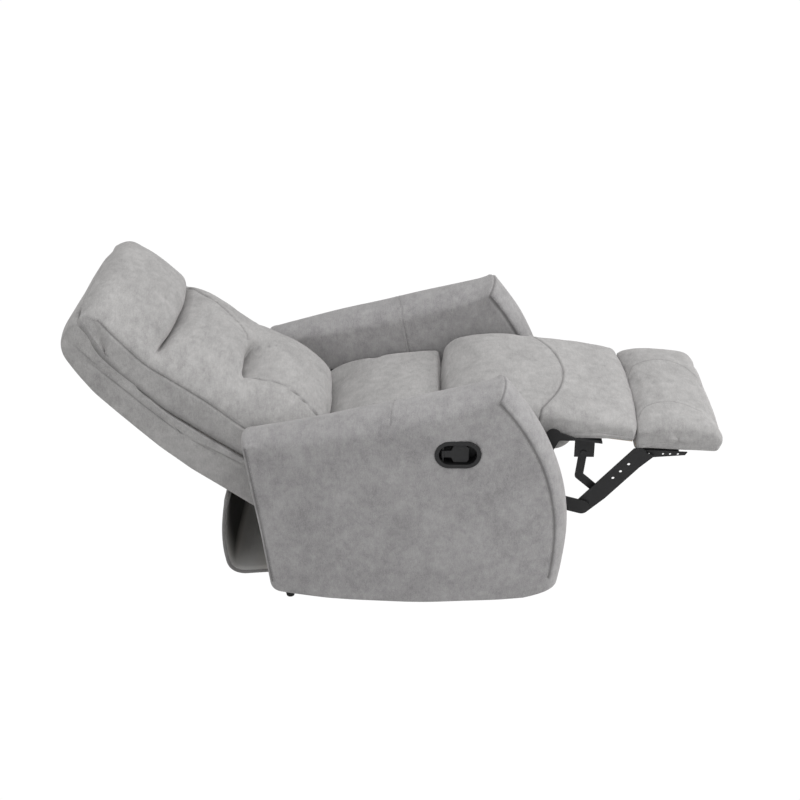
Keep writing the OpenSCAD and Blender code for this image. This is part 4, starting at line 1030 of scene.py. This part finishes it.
shell = cushionGrid(shellOutline(shellShares), shellLook)
up = unleaned(shell)[1]
drop = shellLook["corner"] * ramp(170, 250, np.abs(shell[..., 0] / mm)) ** 2 * ramp(600, 700, up) * mm
shell = shell + drop[..., None] * np.array([0.0, -math.sin(lean), -math.cos(lean)])
shellTrack = [(668, -76), (642, -92), (595, -104), (541, -115), (480, -123), (426, -130), (312, -140),
              (240, -132), (170, -123), (60, -120), (-30, -118)]  # up, depth
shellSeams = [{"line": backLine([(side * shellLook["half"], depth, up) for up, depth in shellTrack]),
               "width": 0.0024, "depth": 0.0016, "dark": 0.55, "threads": [1]} for side in (-1, 1)]
shellPiece = finished("back_shell_cover", shell, shellSeams, "back", ["back_shell"],
                      {"seed": 61, "wave": 0.0012, "waveSize": 0.09})[0]
cutAway(shellPiece, shellOutline(hollowShares), -shellLook["hollowHalf"], shellLook["hollowHalf"])

# Apron under the rear: suede outside, thin lining inside, a turned hem at the top
apronLook = {"thick": 10.0, "front": -292, "hemAt": 8, "hemWidth": 7, "hemSwell": 1.6, "turnIn": 14,
             "endRows": 3, "endRowShade": 0.75}
outerRun = np.vstack([bend((-444, 264), (-466, 150), (-452, 80), 60)[:-1],
                      bend((-452, 80), (-447, 33), (-400, 33), 40)[:-1],
                      np.linspace((-400, 33), (apronLook["front"], 42), 40)])
along = unit(np.gradient(outerRun, axis=0))
inwards = np.stack([-along[:, 1], along[:, 0]], axis=1)
if inwards[0, 0] < 0:
    inwards = -inwards
far = np.concatenate([[0], np.cumsum(np.linalg.norm(np.diff(outerRun, axis=0), axis=1))])
hem = bell(far, apronLook["hemAt"], apronLook["hemWidth"]) * apronLook["hemSwell"]
outerSide = outerRun - inwards * hem[:, None] * 0.5
innerSide = outerRun + inwards * (apronLook["thick"] * 0.92 + hem[:, None] * 0.6)
apronRing = np.vstack([outerSide, innerSide[::-1]])
apronRing[:, 0] = np.minimum(apronRing[:, 0], apronLook["front"])

# The ring is carried across the chair and drawn in to its own middle line at both ends
acrossPlaces = np.concatenate([[-252, -251.4, -250], np.linspace(-246, 246, 70), [250, 251.4, 252]])
inset = np.interp(np.abs(acrossPlaces), [0, 246, 250, 251.4, 252], [0, 0, 0.8, 2.2, 5.0])
core = (apronRing + apronRing[::-1]) / 2
apronRows = []
for x, k in zip(acrossPlaces, inset):
    drawn = apronRing + (core - apronRing) * k / 5
    apronRows.append(np.column_stack([np.full(len(drawn), x), -drawn[:, 0], drawn[:, 1]]))
apron = np.array(apronRows) * mm
apron = apron + gridNormals(apron) * (unevenness(apron, 0.09, 71) * 0.0006)[..., None]
apronPiece = closedGridMesh("rear_apron_cover", apron, suede, False)
columns = len(apronRing)
# Painted shade darkens the apron's end rows
setPaintedShade(apronPiece, np.repeat(apronLook["endRowShade"] * ramp(246, 250, np.abs(acrossPlaces)), columns))

# The inner half is lining, but for the turned hem and the end rows
apronPiece.data.materials.append(lining)
place = np.tile(np.arange(columns), len(apron) - 1)
inside = ((place > len(outerSide) + 1) & (place < columns - apronLook["turnIn"])).astype(np.int32)
ends = apronLook["endRows"] * columns
inside[:ends] = inside[-ends:] = 0
apronPiece.data.polygons.foreach_set("material_index", inside)
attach(apronPiece, "carriage")
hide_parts("rear_apron")
print("apron done")
